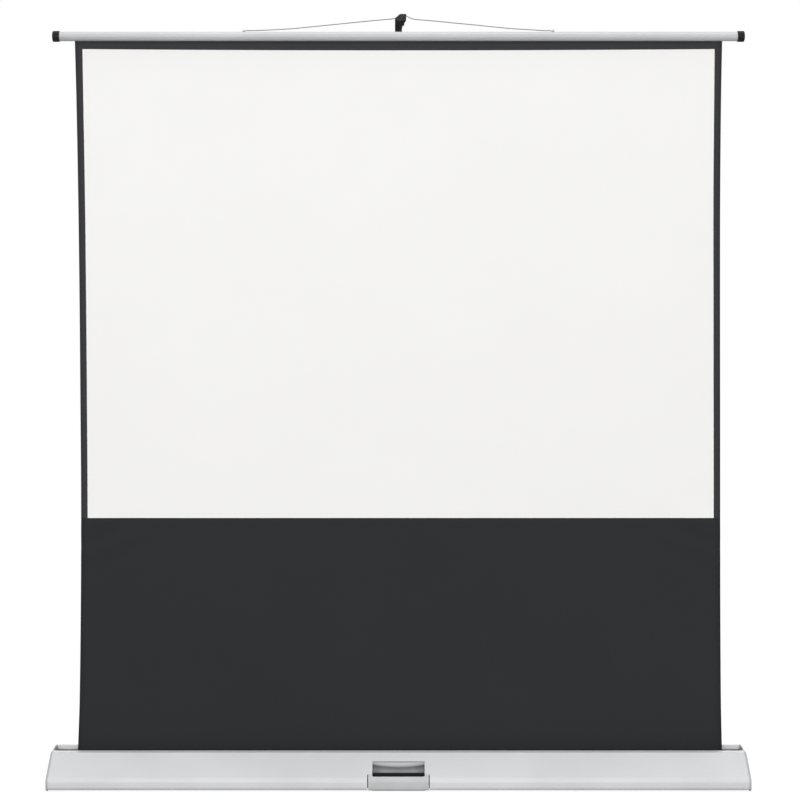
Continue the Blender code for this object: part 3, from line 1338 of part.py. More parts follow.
def make_bolt_and_knob(looks):
    inner_face = WALL_REACH - CASE_WALL
    head_start = inner_face - FIT_GAP - BOLT_HEAD_HEIGHT
    shank_end = KNOB_REACH + BOLT_IN_KNOB
    profile = [
        (0, 0),
        (BOLT_HEAD_RADIUS * HEAD_CROWN_SHARE, 0),
        (BOLT_HEAD_RADIUS, BOLT_HEAD_HEIGHT * (1 - HEAD_EDGE_SHARE)),
        (BOLT_HEAD_RADIUS, BOLT_HEAD_HEIGHT),
        (BOLT_RADIUS, BOLT_HEAD_HEIGHT),
        (BOLT_RADIUS, shank_end - head_start),
        (0, shank_end - head_start),
    ]
    bolt = turned(profile, (0, head_start, PIVOT_Z), (0, 1, 0))
    piece("mast_pivot_bolt", bolt, looks["steel"], smooth=True)
    axis = axis_empty("pivot_knob_axis", (0, KNOB_REACH + SCREEN_Y, PIVOT_Z))
    bm = bmesh.new()
    rings = []
    stations = [
        (0, KNOB_HUB_RADIUS, 0),
        (KNOB_HUB, KNOB_HUB_RADIUS, 0),
        (KNOB_HUB, KNOB_RADIUS - KNOB_ROUND, KNOB_LOBE),
        (KNOB_HUB + KNOB_ROUND, KNOB_RADIUS, KNOB_LOBE),
        (KNOB_DEPTH - KNOB_ROUND, KNOB_RADIUS, KNOB_LOBE),
        (KNOB_DEPTH, KNOB_RADIUS - KNOB_ROUND, KNOB_LOBE),
    ]
    for along, radius, lobe in stations:
        ring = []
        for index in range(KNOB_LOBES * KNOB_STEPS_PER_LOBE):
            angle = math.tau * index / (KNOB_LOBES * KNOB_STEPS_PER_LOBE)
            reach = radius + lobe * math.cos(KNOB_LOBES * angle)
            height = PIVOT_Z + reach * math.sin(angle)
            place = (reach * math.cos(angle), KNOB_REACH + along + SCREEN_Y, height)
            ring.append(bm.verts.new(place))
        rings.append(ring)
    count = len(rings[0])
    for first, second in zip(rings, rings[1:]):
        for index in range(count):
            following = (index + 1) % count
            bm.faces.new((first[index], first[following], second[following], second[index]))
    bm.faces.new(rings[0])
    bm.faces.new(rings[-1])
    knob = piece("pivot_knob", bm, looks["black"], axis, True)
    bore_length = BOLT_IN_KNOB + OVERRUN + FIT_GAP
    bore = rod(BOLT_RADIUS + FIT_GAP, (0, KNOB_REACH - OVERRUN, PIVOT_Z), (0, 1, 0), bore_length)
    cut(knob, bore, "knob_bore")


def make_cradle(looks, tray):
    """A moulded U clip on the rear wall, open upwards, that the folded mast drops into."""
    inner = LOWER_RADIUS + CRADLE_GAP
    outer = inner + CRADLE_WALL
    low = CRADLE_X - CRADLE_HALF
    high = CRADLE_X + CRADLE_HALF
    centre = (MAST_REACH, PIVOT_Z)
    arm = PIVOT_Z + CRADLE_ARM
    outline = [Vector((MAST_REACH - outer, arm))]
    outline = outline + arc(centre, outer, math.pi, math.tau, 4 * ARC_STEPS)
    outline = outline + [Vector((MAST_REACH + outer, arm)), Vector((MAST_REACH + inner, arm))]
    outline = outline + arc(centre, inner, math.tau, math.pi, 4 * ARC_STEPS)
    outline = outline + [Vector((MAST_REACH - inner, arm))]
    cradle = piece("mast_cradle", prism(outline, "X", low, high), looks["black"], smooth=True)
    back = WALL_REACH + FIT_GAP
    screw_z = PIVOT_Z - CRADLE_SCREW_DROP
    plate = block((low, back, screw_z - CRADLE_SCREW_EDGE), (high, back + CRADLE_PLATE, arm))
    join(cradle, plate, "cradle_plate")
    for index, across in enumerate((CRADLE_X - CRADLE_SCREW_X, CRADLE_X + CRADLE_SCREW_X), 1):
        seat = (across, back + CRADLE_PLATE + FIT_GAP, screw_z)
        pan_screw(f"cradle_screw_{index}", seat, (0, -1, 0), SHORT_SCREW_LENGTH, looks["steel"])
        depth = CRADLE_PLATE + CASE_WALL + 2 * FIT_GAP + OVERRUN
        cut(cradle, screw_hole(seat, (0, -1, 0), depth), f"cradle_screw_hole_{index}")
        cut(tray, screw_hole(seat, (0, -1, 0), depth), f"tray_cradle_hole_{index}")


def main():
    clear_scene()
    looks = {
        "aluminium": skin("satin_aluminium", (0.60, 0.61, 0.62), 0.38, 0.9),
        "end_cap": skin("silver_plastic", (0.52, 0.53, 0.54), 0.45),
        "grip": skin("grey_plastic", (0.50, 0.51, 0.52), 0.5),
        "pocket": skin("dark_plastic", (0.10, 0.10, 0.105), 0.55),
        "black": skin("black_plastic", (0.03, 0.03, 0.032), 0.5),
        "rubber": skin("black_rubber", (0.02, 0.02, 0.02), 0.8),
        "steel": skin("zinc_steel", (0.45, 0.45, 0.46), 0.35, 1.0),
        "fabric": skin("screen_cloth", (0.85, 0.85, 0.84), 0.85),
        "white": skin("white_plastic", (0.80, 0.80, 0.79), 0.5),
        "cord": skin("grey_cord", (0.50, 0.50, 0.50), 0.8),
    }
    tray = make_case(looks)
    make_roller(looks, tray)
    make_fabric(looks["fabric"])
    make_top_bar(looks)
    make_mast(looks)
    make_mast_bracket(looks, tray)
    make_bolt_and_knob(looks)
    make_cradle(looks, tray)


main()
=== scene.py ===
"""A portable projection screen, standing open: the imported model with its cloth, cord and materials."""

import math

import bpy
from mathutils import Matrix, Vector


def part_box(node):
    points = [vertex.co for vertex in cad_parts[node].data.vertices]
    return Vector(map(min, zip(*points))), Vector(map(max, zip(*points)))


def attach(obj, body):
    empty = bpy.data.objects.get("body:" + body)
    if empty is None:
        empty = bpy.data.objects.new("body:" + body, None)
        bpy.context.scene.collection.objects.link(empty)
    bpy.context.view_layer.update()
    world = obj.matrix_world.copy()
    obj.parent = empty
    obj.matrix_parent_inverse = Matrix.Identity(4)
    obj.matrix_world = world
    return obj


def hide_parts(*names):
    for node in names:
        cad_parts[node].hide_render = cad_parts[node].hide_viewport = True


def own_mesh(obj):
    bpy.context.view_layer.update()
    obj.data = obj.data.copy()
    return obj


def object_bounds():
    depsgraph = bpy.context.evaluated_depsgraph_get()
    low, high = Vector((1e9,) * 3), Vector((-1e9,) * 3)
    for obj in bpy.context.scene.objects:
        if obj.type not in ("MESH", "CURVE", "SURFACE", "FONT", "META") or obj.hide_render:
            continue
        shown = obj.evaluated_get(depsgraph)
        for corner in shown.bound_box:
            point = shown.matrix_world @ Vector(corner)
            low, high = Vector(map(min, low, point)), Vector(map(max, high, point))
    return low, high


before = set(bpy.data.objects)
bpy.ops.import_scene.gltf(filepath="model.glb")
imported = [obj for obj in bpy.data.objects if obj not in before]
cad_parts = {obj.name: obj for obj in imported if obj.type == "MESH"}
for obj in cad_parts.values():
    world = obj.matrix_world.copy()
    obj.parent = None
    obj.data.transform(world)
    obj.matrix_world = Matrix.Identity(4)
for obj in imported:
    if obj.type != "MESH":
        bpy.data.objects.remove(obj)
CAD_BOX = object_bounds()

# Camera, read from the photograph: metres, degrees and pixels of its 800 x 800 frame.
IMAGE_PIXELS = 800
FOCAL_PIXELS = 2040.4
SENSOR_MM = 36.0
CAMERA_PLACE = (0.00385, -5.2126, 1.110)
CAMERA_PITCH = 1.4
CAMERA_REACH = 100

# Places shared with the model.
CLOTH_Y = 0.02745
ROLLER_Y = 0.0095
ROLLER_Z = 0.031
BAR_Z = 1.912

# Steps between two knots of a smooth route.
ROUTE_STEPS = 12

# Hanging cord: the model's route, as place across, distance behind the cloth and height above the
# bar's axis.
CORD_RADIUS = 0.00125
CORD_POINTS = 66
CORD_SIDES = 10
CORD_ROUTE = (
    (-0.3906, 0.0004, 0.0150),
    (-0.3700, 0.0014, 0.0153),
    (-0.3235, 0.0041, 0.0175),
    (-0.2725, 0.0070, 0.0210),
    (-0.2214, 0.0100, 0.0264),
    (-0.1702, 0.0129, 0.0320),
    (-0.1190, 0.0158, 0.0376),
    (-0.0677, 0.0189, 0.0432),
    (-0.0300, 0.0212, 0.0469),
    (-0.0150, 0.0220, 0.0484),
    (-0.0050, 0.0221, 0.0496),
    (0.0050, 0.0221, 0.0514),
    (0.0115, 0.0221, 0.0545),
    (0.0170, 0.0221, 0.0567),
    (0.0218, 0.0219, 0.0566),
    (0.0246, 0.0216, 0.0550),
    (0.0276, 0.0214, 0.0520),
    (0.0310, 0.0211, 0.0493),
    (0.0370, 0.0206, 0.0475),
    (0.0503, 0.0196, 0.0460),
    (0.0862, 0.0174, 0.0427),
    (0.1374, 0.0144, 0.0372),
    (0.1886, 0.0115, 0.0319),
    (0.2398, 0.0086, 0.0262),
    (0.2909, 0.0058, 0.0208),
    (0.3419, 0.0030, 0.0174),
    (0.3720, 0.0014, 0.0153),
    (0.3906, 0.0004, 0.0150),
)

# Cloth: half widths up the screen, read from both edges of the photograph's cloth, and how far
# its middle lies to the right of the case's, because it has run a little aside on its roller.
CLOTH_HALF_THICK = 0.00025
CLOTH_EDGE = (
    (0.0310, 0.8304),
    (0.0843, 0.8303),
    (0.2086, 0.8267),
    (0.4670, 0.8234),
    (0.7248, 0.8219),
    (0.9820, 0.8218),
    (1.2386, 0.8218),
    (1.4946, 0.8226),
    (1.7500, 0.8251),
    (1.8980, 0.8279),
    (1.9012, 0.8280),
)
CLOTH_LOW = CLOTH_EDGE[0][0]
CLOTH_HIGH = CLOTH_EDGE[-1][0]
CLOTH_DRIFT = (
    (0.0310, 0.0035),
    (0.1087, 0.0039),
    (0.2110, 0.0046),
    (0.4680, 0.0054),
    (0.7246, 0.0056),
    (0.9814, 0.0046),
    (1.2380, 0.0034),
    (1.4948, 0.0019),
    (1.7515, 0.0006),
    (1.9012, 0.0),
)
PICTURE_EDGE = (
    (0.6784, 0.8051),
    (0.9820, 0.8047),
    (1.2386, 0.8047),
    (1.4946, 0.8051),
    (1.8650, 0.8084),
    (1.8799, 0.8085),
)
PICTURE_LOW = PICTURE_EDGE[0][0]
PICTURE_HIGH = PICTURE_EDGE[-1][0]

# Sag of the picture's upper edge, over this half width, and the height at which the cloth is out of
# the case's slot.
PICTURE_SAG = 0.0034
SAG_HALF_WIDTH = 0.81
SLOT_TOP = 0.085

# Faces of the cloth: their counts, and the looks of its sides.
CLOTH_COLUMNS = 90
PICTURE_ROWS = 44
DROP_ROWS = 60
SLOT_ROWS = 3
TOP_ROWS = 2
PICTURE, BORDER, DROP, BACK = range(4)
CLOTH_LOOKS = ("picture_white", "border_black", "drop_black", "back_black")

# Ripple of the cloth: a slow swell, slanting wrinkles low at both sides, and the heights between
# which it hangs free. Pairs are across and up.
SWELL_DEPTH = 0.0005
SWELL_WAVES = (2.1, 1.7)
SWELL_START = 0.6
WRINKLE_PLACE = (0.75, 0.62)
WRINKLE_REACH = (0.10, 0.07)
WRINKLE_WAVES = (40, 80)
WRINKLE_DEPTH = 0.0015
FREE_LOW = 0.10
FREE_HIGH = 1.86
FREE_FADE = 0.15

# Pocket of the handle: how its crease bows, and its greys up the range round the crease, which are
# painted light and shade: light above the crease, a painted shadow along it and mid grey below.
CREASE_BOW = 1.14
CREASE_RANGE = (0.040, 0.062)
CREASE_TINT = (1, 1.008, 1.025)
CREASE_PAINTED_SHADES = (
    (0, 0.25),
    (0.2, 0.17),
    (0.36, 0.11),
    (0.5, 0.085),
    (0.6, 0.21),
    (0.69, 0.30),
    (0.8, 0.40),
    (1, 0.42),
)

# Heights and depths at which the pocket, the tray and the hook change tone: painted shade on the
# pocket and on the tray's inner faces, and a painted highlight on the hook.
POCKET_END = (0.038, 0.054)
POCKET_BELOW = (0.0515, 0.0535)
POCKET_TOP = (0.0630, 0.0637)
CHANNEL_EDGE = (0.0400, 0.0410)
MOUTH_EDGE = (0.0748, 0.0758)
UNDERSIDE_EDGE = (0.0045, 0.0060)
REAR_WALL_EDGE = (0.0532, 0.0538)
PAINTED_HIGHLIGHT_EDGE = (1.9530, 1.9580)

# Textures: metal grain and the scale that draws it out, the cloth's threads with the period of
# Blender's wave texture at a scale of 1, and the braid with its scales round the cord and along it.
GRAIN_DEPTH = 0.00002
GRAIN_STRETCH = 0.002
THREAD_DEPTH = 0.00002
THREAD_WIDTH = 0.0006
WAVE_PERIOD = 0.314
BRAID_SCALE = (4, 260)
BRAID_DEPTH = 0.0002

# Smooth shading of the model's faceted solids.
JOIN_DISTANCE = 0.00002
SHARP_ANGLE = math.radians(32)

# Roll of cloth left on the roller.
ROLL_INNER = 0.0161
ROLL_PITCH = 0.00055
ROLL_TURNS = 2.1
ROLL_TURN_STEPS = 48
ROLL_STEPS = int(ROLL_TURNS * ROLL_TURN_STEPS)
ROLL_DRIFT = CLOTH_DRIFT[0][1]

# Lamps: name, place, the point that it faces, width and height, and watts.
LAMPS = (
    ("key_light", (-0.3, -9.5, 1.9), (0, 0, 0.9), (8.0, 3.4), 600),
    ("top_light", (0.2, -1.0, 8.0), (0, 0, 0), (6.0, 4.0), 315),
    ("back_light", (0.5, 8.0, 2.0), (0, 0, 0.9), (7.0, 3.4), 370),
)
AMBIENT = 0.42
WHITE = (1, 1, 1, 1)

# Floor, with the half axes of the patch that takes the object's shadow.
FLOOR_HALF = 30
FLOOR_GREY = 0.3
FLOOR_GLOW = 0.78
SHADOW_REACH = (2.2, 1.4)
SHADOW_FADE = 0.45


# Camera

def add_camera():
    camera = bpy.data.cameras.new("photo_camera")
    camera.sensor_width = SENSOR_MM
    camera.lens = FOCAL_PIXELS * SENSOR_MM / IMAGE_PIXELS
    camera.clip_end = CAMERA_REACH
    holder = bpy.data.objects.new("photo_camera", camera)
    holder.location = CAMERA_PLACE
    holder.rotation_euler = (math.radians(90 - CAMERA_PITCH), 0, 0)
    bpy.context.scene.collection.objects.link(holder)
    bpy.context.scene.camera = holder


# Mesh helpers

def add_mesh(name, points, faces, materials, slots=None, uvs=None, smooth=True):
    """A mesh object from points and faces, with a material slot per face and a UV per point."""
    mesh = bpy.data.meshes.new(name)
    mesh.from_pydata(points, [], faces)
    for material in materials:
        mesh.materials.append(material)
    for index, face in enumerate(mesh.polygons):
        face.use_smooth = smooth
        if slots:
            face.material_index = slots[index]
    if uvs:
        layer = mesh.uv_layers.new(name="weave")
        for face in mesh.polygons:
            for loop, vertex in zip(face.loop_indices, face.vertices):
                layer.data[loop].uv = uvs[vertex]
    mesh.update()
    thing = bpy.data.objects.new(name, mesh)
    bpy.context.scene.collection.objects.link(thing)
    return thing


def cubic_weights(t):
    """Weights of the start, the slope there, the end and the slope there, at a share t of a curve."""
    start = 2 * t ** 3 - 3 * t ** 2 + 1
    leave = t ** 3 - 2 * t ** 2 + t
    end = 3 * t ** 2 - 2 * t ** 3
    arrive = t ** 3 - t ** 2
    return start, leave, end, arrive


def fine_route(knots):
    """Points close together on a smooth curve through the knots."""
    fine = []
    for index in range(len(knots) - 1):
        before = Vector(knots[max(index - 1, 0)])
        start = Vector(knots[index])
        end = Vector(knots[index + 1])
        after = Vector(knots[min(index + 2, len(knots) - 1)])
        span = (end - start).length
        leave = (end - before) * (span / (end - before).length)
        arrive = (after - start) * (span / (after - start).length)
        for step in range(ROUTE_STEPS):
            weights = cubic_weights(step / ROUTE_STEPS)
            place = start * weights[0] + leave * weights[1]
            fine.append(place + end * weights[2] + arrive * weights[3])
    fine.append(Vector(knots[-1]))
    return fine


def smooth_route(knots, count):
    """Evenly spaced points on a smooth curve through the knots, as the model makes them."""
    fine = fine_route(knots)
    lengths = [0]
    for start, end in zip(fine, fine[1:]):
        lengths.append(lengths[-1] + (end - start).length)
    even = []
    reached = 0
    for index in range(count):
        wanted = lengths[-1] * index / (count - 1)
        while reached < len(fine) - 2 and lengths[reached + 1] < wanted:
            reached += 1
        share = (wanted - lengths[reached]) / (lengths[reached + 1] - lengths[reached])
        even.append(fine[reached].lerp(fine[reached + 1], share))
    return even


def between(table, place):
    """The value at a place in a table of (place, value), along a smooth curve."""
    if place <= table[0][0]:
        return table[0][1]
    for index in range(len(table) - 1):
        low, low_value = table[index]
        high, high_value = table[index + 1]
        if place <= high:
            before = table[max(index - 1, 0)]
            after = table[min(index + 2, len(table) - 1)]
            leave = (high_value - before[1]) / (high - before[0])
            arrive = (after[1] - low_value) / (after[0] - low)
            weights = cubic_weights((place - low) / (high - low))
            value = low_value * weights[0] + high_value * weights[2]
            slopes = leave * weights[1] + arrive * weights[3]
            return value + slopes * (high - low)
    return table[-1][1]


# Node helpers

def add_node(tree, kind, **values):
    """A node, with its settings by name and its inputs by number or by name."""
    node = tree.nodes.new(kind)
    for key, value in values.items():
        if key.startswith("in_"):
            name = key.removeprefix("in_")
            place = int(name) if name.isdigit() else name.replace("_", " ")
            node.inputs[place].default_value = value
        else:
            setattr(node, key, value)
    return node


def new_material(name, color, metallic=0.0, roughness=0.5, **sockets):
    """A material with one Principled shader, whose plain values are set on the shader itself."""
    material = bpy.data.materials.new(name)
    material.use_nodes = True
    shader = material.node_tree.nodes["Principled BSDF"]
    shader.inputs["Base Color"].default_value = (*color, 1)
    shader.inputs["Metallic"].default_value = metallic
    shader.inputs["Roughness"].default_value = roughness
    for key, value in sockets.items():
        shader.inputs[key.replace("_", " ")].default_value = value
    return material


def surface(material):
    return material.node_tree.nodes["Principled BSDF"]


def noise(material, scale, stretch=(1, 1, 1), detail=4, roughness=0.55, coordinates="Object"):
    """Noise on the piece's own coordinates, drawn out along an axis by stretch."""
    tree = material.node_tree
    place = add_node(tree, "ShaderNodeTexCoord")
    mapping = add_node(tree, "ShaderNodeMapping")
    mapping.inputs["Scale"].default_value = stretch
    texture = add_node(
        tree,
        "ShaderNodeTexNoise",
        in_Scale=scale,
        in_Detail=detail,
        in_Roughness=roughness,
    )
    tree.links.new(place.outputs[coordinates], mapping.inputs["Vector"])
    tree.links.new(mapping.outputs["Vector"], texture.inputs["Vector"])
    return texture.outputs[0]


def between_values(material, source, low, high, start=0.3, end=0.7):
    """A texture's range mapped to a range of values."""
    tree = material.node_tree
    node = add_node(tree, "ShaderNodeMapRange", in_1=start, in_2=end, in_3=low, in_4=high)
    tree.links.new(source, node.inputs[0])
    return node.outputs[0]


def vary_color(material, source, low, high, start=0.35, end=0.65):
    """The colour runs from low to high with the texture."""
    tree = material.node_tree
    ramp = add_node(tree, "ShaderNodeValToRGB")
    ramp.color_ramp.elements[0].position = start
    ramp.color_ramp.elements[0].color = (*low, 1)
    ramp.color_ramp.elements[1].position = end
    ramp.color_ramp.elements[1].color = (*high, 1)
    tree.links.new(source, ramp.inputs["Fac"])
    tree.links.new(ramp.outputs["Color"], surface(material).inputs["Base Color"])


def vary_roughness(material, source, low, high):
    level = between_values(material, source, low, high)
    material.node_tree.links.new(level, surface(material).inputs["Roughness"])


def raise_bump(material, source, depth, strength=1.0):
    """The texture raises the surface by depth metres, on top of any bump that is there."""
    tree = material.node_tree
    bump = add_node(tree, "ShaderNodeBump", in_Strength=strength, in_Distance=depth)
    tree.links.new(source, bump.inputs["Height"])
    socket = surface(material).inputs["Normal"]
    if socket.is_linked:
        tree.links.new(socket.links[0].from_socket, bump.inputs["Normal"])
    tree.links.new(bump.outputs["Normal"], socket)


def combined_in(tree, operation, first, second):
    """A sum, product or the like of two values, each an output or a plain number."""
    node = add_node(tree, "ShaderNodeMath", operation=operation)
    for socket, value in zip(node.inputs, (first, second)):
        if isinstance(value, (int, float)):
            socket.default_value = value
        else:
            tree.links.new(value, socket)
    return node.outputs[0]


def combined(material, operation, first, second):
    """The same among a material's nodes."""
    return combined_in(material.node_tree, operation, first, second)


# Materials

def shade(color, share):
    return tuple(part * share for part in color)


def satin_metal(name, color, along, metallic=0.16, roughness=0.54):
    """Satin anodised metal: fine grain along one axis, with a slight drift of tone."""
    material = new_material(name, color, metallic, roughness, Specular_IOR_Level=0.25)
    stretch = tuple(GRAIN_STRETCH if axis == along else 1 for axis in range(3))
    grain = noise(material, 2600, stretch, detail=3, roughness=0.7)
    lines = noise(material, 700, stretch, detail=4, roughness=0.65)
    drift = noise(material, 5, detail=2)
    tone = combined(material, "ADD", drift, combined(material, "MULTIPLY", lines, 0.4))
    vary_color(material, tone, shade(color, 0.955), shade(color, 1.04), 0.5, 0.9)
    vary_roughness(material, grain, roughness - 0.05, roughness + 0.07)
    raise_bump(material, lines, GRAIN_DEPTH, 0.5)
    raise_bump(material, grain, GRAIN_DEPTH, 0.6)
    return material


def moulded(name, color, roughness=0.5, grain_scale=1400, depth=0.00003, gloss=0.4):
    """Moulded plastic with the fine texture of its mould and a slight mottle."""
    material = new_material(name, color, roughness=roughness, Specular_IOR_Level=gloss)
    grain = noise(material, grain_scale, detail=3, roughness=0.6)
    mottle = noise(material, 30, detail=3)
    vary_color(material, mottle, shade(color, 0.96), shade(color, 1.03))
    vary_roughness(material, grain, roughness - 0.06, roughness + 0.08)
    raise_bump(material, grain, depth, 0.7)
    return material


def own_place(material):
    """The piece's own x, y and z, in metres."""
    tree = material.node_tree
    place = add_node(tree, "ShaderNodeTexCoord")
    split = add_node(tree, "ShaderNodeSeparateXYZ")
    tree.links.new(place.outputs["Object"], split.inputs[0])
    return split.outputs


def darken_where(material, mask, color):
    """Colour laid over the material's own where the mask is 1."""
    tree = material.node_tree
    socket = surface(material).inputs["Base Color"]
    mix = add_node(tree, "ShaderNodeMixRGB")
    tree.links.new(mask, mix.inputs["Fac"])
    tree.links.new(socket.links[0].from_socket, mix.inputs["Color1"])
    mix.inputs["Color2"].default_value = (*color, 1)
    tree.links.new(mix.outputs["Color"], socket)


def crease_shade(material, height):
    """The pocket's greys, laid up the range round its crease: painted light above it, a painted shadow
    along it.
    """
    tree = material.node_tree
    ramp = add_node(tree, "ShaderNodeValToRGB")
    stops = ramp.color_ramp.elements
    stops.remove(stops[1])
    for place, grey in CREASE_PAINTED_SHADES:
        stop = stops.new(place) if place else stops[0]
        stop.color = (*(grey * tint for tint in CREASE_TINT), 1)
    tree.links.new(between_values(material, height, 0, 1, *CREASE_RANGE), ramp.inputs["Fac"])
    tree.links.new(ramp.outputs["Color"], surface(material).inputs["Base Color"])


def pocket_plastic(name):
    """The handle's tub, in painted light and shade: light grey above its bowed crease, a painted shadow
    along the crease, darker below, painted shade at its ends and along its top edge, and black in its
    channel, where shade falls.
    """
    material = moulded(name, (0.3, 0.3, 0.3), 0.5)
    place = own_place(material)
    x, z = place["X"], place["Z"]
    bow = combined(material, "MULTIPLY", combined(material, "MULTIPLY", x, x), -CREASE_BOW)
    height = combined(material, "ADD", z, bow)
    crease_shade(material, height)
    ends = between_values(material, combined(material, "ABSOLUTE", x, 0), 0, 0.42, *POCKET_END)
    below = between_values(material, height, 1, 0, *POCKET_BELOW)
    top_shadow_line = between_values(material, z, 0, 0.8, *POCKET_TOP)
    channel = between_values(material, z, 1, 0, *CHANNEL_EDGE)
    # Painted shade: the tub's ends darken below the crease, a painted shadow line runs along its top
    # edge, and the channel under the grip is laid black for the shadow there.
    darken_where(material, combined(material, "MULTIPLY", ends, below), (0.02, 0.02, 0.021))
    darken_where(material, top_shadow_line, (0.06, 0.06, 0.06))
    darken_where(material, channel, (0.017, 0.017, 0.018))
    return material


def hook_plastic(name):
    """The hook's black plastic, with a painted highlight: its upper part paler in patches."""
    material = moulded(name, (0.010, 0.010, 0.011), 0.55, gloss=0.05)
    marks = noise(material, 170, detail=3)
    vary_color(material, marks, (0.004, 0.004, 0.0045), (0.015, 0.015, 0.016), 0.4, 0.6)
    # Painted highlight: the upper part is paler in patches.
    painted_highlight = between_values(material, own_place(material)["Z"], 0, 0.8, *PAINTED_HIGHLIGHT_EDGE)
    patches = between_values(material, marks, 0.4, 1, 0.4, 0.6)
    darken_where(material, combined(material, "MULTIPLY", painted_highlight, patches), (0.058, 0.058, 0.060))
    return material


def tray_metal(name, color):
    """The tray's aluminium, with painted shade: its inner faces are black below the mouth of the case.
    """
    material = satin_metal(name, color, 0)
    place = own_place(material)
    below = between_values(material, place["Z"], 1, 0, *MOUTH_EDGE)
    above = between_values(material, place["Z"], 0, 1, *UNDERSIDE_EDGE)
    inside = between_values(material, place["Y"], 1, 0, *REAR_WALL_EDGE)
    mask = combined(material, "MULTIPLY", combined(material, "MULTIPLY", below, above), inside)
    # Painted shade: the inner faces below the mouth are laid black.
    darken_where(material, mask, (0.012, 0.012, 0.013))
    return material


def plated_steel(name, color, roughness=0.32):
    """Zinc-plated steel, with the faint bloom of its crystals."""
    material = new_material(name, color, metallic=1.0, roughness=roughness)
    bloom = noise(material, 420, detail=5, roughness=0.65)
    vary_color(material, bloom, shade(color, 0.9), shade(color, 1.08))
    vary_roughness(material, bloom, roughness - 0.06, roughness + 0.12)
    raise_bump(material, bloom, GRAIN_DEPTH, 0.2)
    return material


def woven(name, color, roughness, drift_share=0.035):
    """Coated cloth: crossed threads by UV, whose unit is a metre, under a matt face."""
    material = new_material(name, color, roughness=roughness, Specular_IOR_Level=0.2)
    tree = material.node_tree
    place = add_node(tree, "ShaderNodeTexCoord")
    threads = []
    for direction in ("X", "Y"):
        wave = add_node(
            tree,
            "ShaderNodeTexWave",
            bands_direction=direction,
            in_Scale=WAVE_PERIOD / THREAD_WIDTH,
            in_Distortion=0.4,
        )
        tree.links.new(place.outputs["UV"], wave.inputs["Vector"])
        threads.append(wave.outputs[1])
    raise_bump(material, combined(material, "MULTIPLY", *threads), THREAD_DEPTH, 0.5)
    drift = noise(material, 2.4, detail=3, coordinates="UV")
    vary_color(material, drift, shade(color, 1 - drift_share), shade(color, 1 + drift_share))
    vary_roughness(material, drift, roughness - 0.04, roughness + 0.05)
    return material


def braided(name, color):
    """A braided cord: threads crossing both ways round it, by UV."""
    material = new_material(name, color, roughness=0.75, Sheen_Weight=0.3)
    tree = material.node_tree
    place = add_node(tree, "ShaderNodeTexCoord")
    threads = []
    for slant in (1, -1):
        mapping = add_node(
            tree,
            "ShaderNodeMapping",
            in_Scale=(BRAID_SCALE[0] * slant, BRAID_SCALE[1], 1),
        )
        wave = add_node(
            tree,
            "ShaderNodeTexWave",
            bands_direction="DIAGONAL",
            in_Scale=1.0,
            in_Distortion=0.6,
        )
        tree.links.new(place.outputs["UV"], mapping.inputs["Vector"])
        tree.links.new(mapping.outputs["Vector"], wave.inputs["Vector"])
        threads.append(wave.outputs[1])
    braid = combined(material, "MAXIMUM", *threads)
    raise_bump(material, braid, BRAID_DEPTH, 0.8)
    # Painted shade: the colour is darker in the grooves between the threads.
    vary_color(material, braid, shade(color, 0.8), color, 0.1, 0.8)
    return material


def make_materials():
    return {
        "case_metal": satin_metal("case_satin_aluminium", (0.555, 0.56, 0.57), 0),
        # Painted light: the tray's aluminium is a lighter copy of the case's, to brighten its rear wall.
        "tray_metal": tray_metal("tray_satin_aluminium", (0.69, 0.696, 0.707)),
        "bar_metal": satin_metal("bar_satin_aluminium", (0.485, 0.49, 0.503), 0, metallic=0.12),
        "mast_metal": satin_metal("mast_satin_aluminium", (0.58, 0.585, 0.60), 2),
        "silver_plastic": moulded("silver_plastic", (0.40, 0.405, 0.414)),
        "grey_plastic": moulded("grey_plastic", (0.475, 0.48, 0.488), 0.5),
        "dark_plastic": moulded("dark_plastic", (0.030, 0.030, 0.032), 0.5, gloss=0.25),
        "black_plastic": moulded("black_plastic", (0.010, 0.010, 0.011), 0.5, gloss=0.12),
        "pocket": pocket_plastic("pocket_plastic"),
        "hook": hook_plastic("hook_plastic"),
        "white_plastic": moulded("white_plastic", (0.70, 0.70, 0.69), 0.4),
        "rubber": moulded("black_rubber", (0.012, 0.012, 0.012), 0.85, 900, depth=0.00006, gloss=0.2),
        "steel": plated_steel("zinc_steel", (0.52, 0.52, 0.53)),
        "picture_white": woven("cloth_matt_white", (0.862, 0.857, 0.842), 0.9, drift_share=0.006),
        "border_black": woven("cloth_border_black", (0.036, 0.036, 0.041), 0.8),
        "drop_black": woven("cloth_drop_black", (0.0205, 0.0212, 0.0232), 0.85),
        "back_black": woven("cloth_back_black", (0.016, 0.016, 0.017), 0.85),
        "cord": braided("cord_grey", (0.235, 0.24, 0.238)),
    }


SLOT_LOOKS = {
    "satin_aluminium": "case_metal",
    "silver_plastic": "silver_plastic",
    "grey_plastic": "grey_plastic",
    "dark_plastic": "dark_plastic",
    "black_plastic": "black_plastic",
    "white_plastic": "white_plastic",
    "black_rubber": "rubber",
    "zinc_steel": "steel",
}
OWN_LOOKS = {
    "base_tray": "tray_metal",
    "cord_eyelet_left": "grey_plastic",
    "cord_eyelet_right": "grey_plastic",
    "handle_pocket": "pocket",
    "mast_hook": "hook",
    "top_bar_tube": "bar_metal",
    "mast_lower_tube": "mast_metal",
    "mast_middle_tube": "mast_metal",
    "mast_upper_tube": "mast_metal",
}


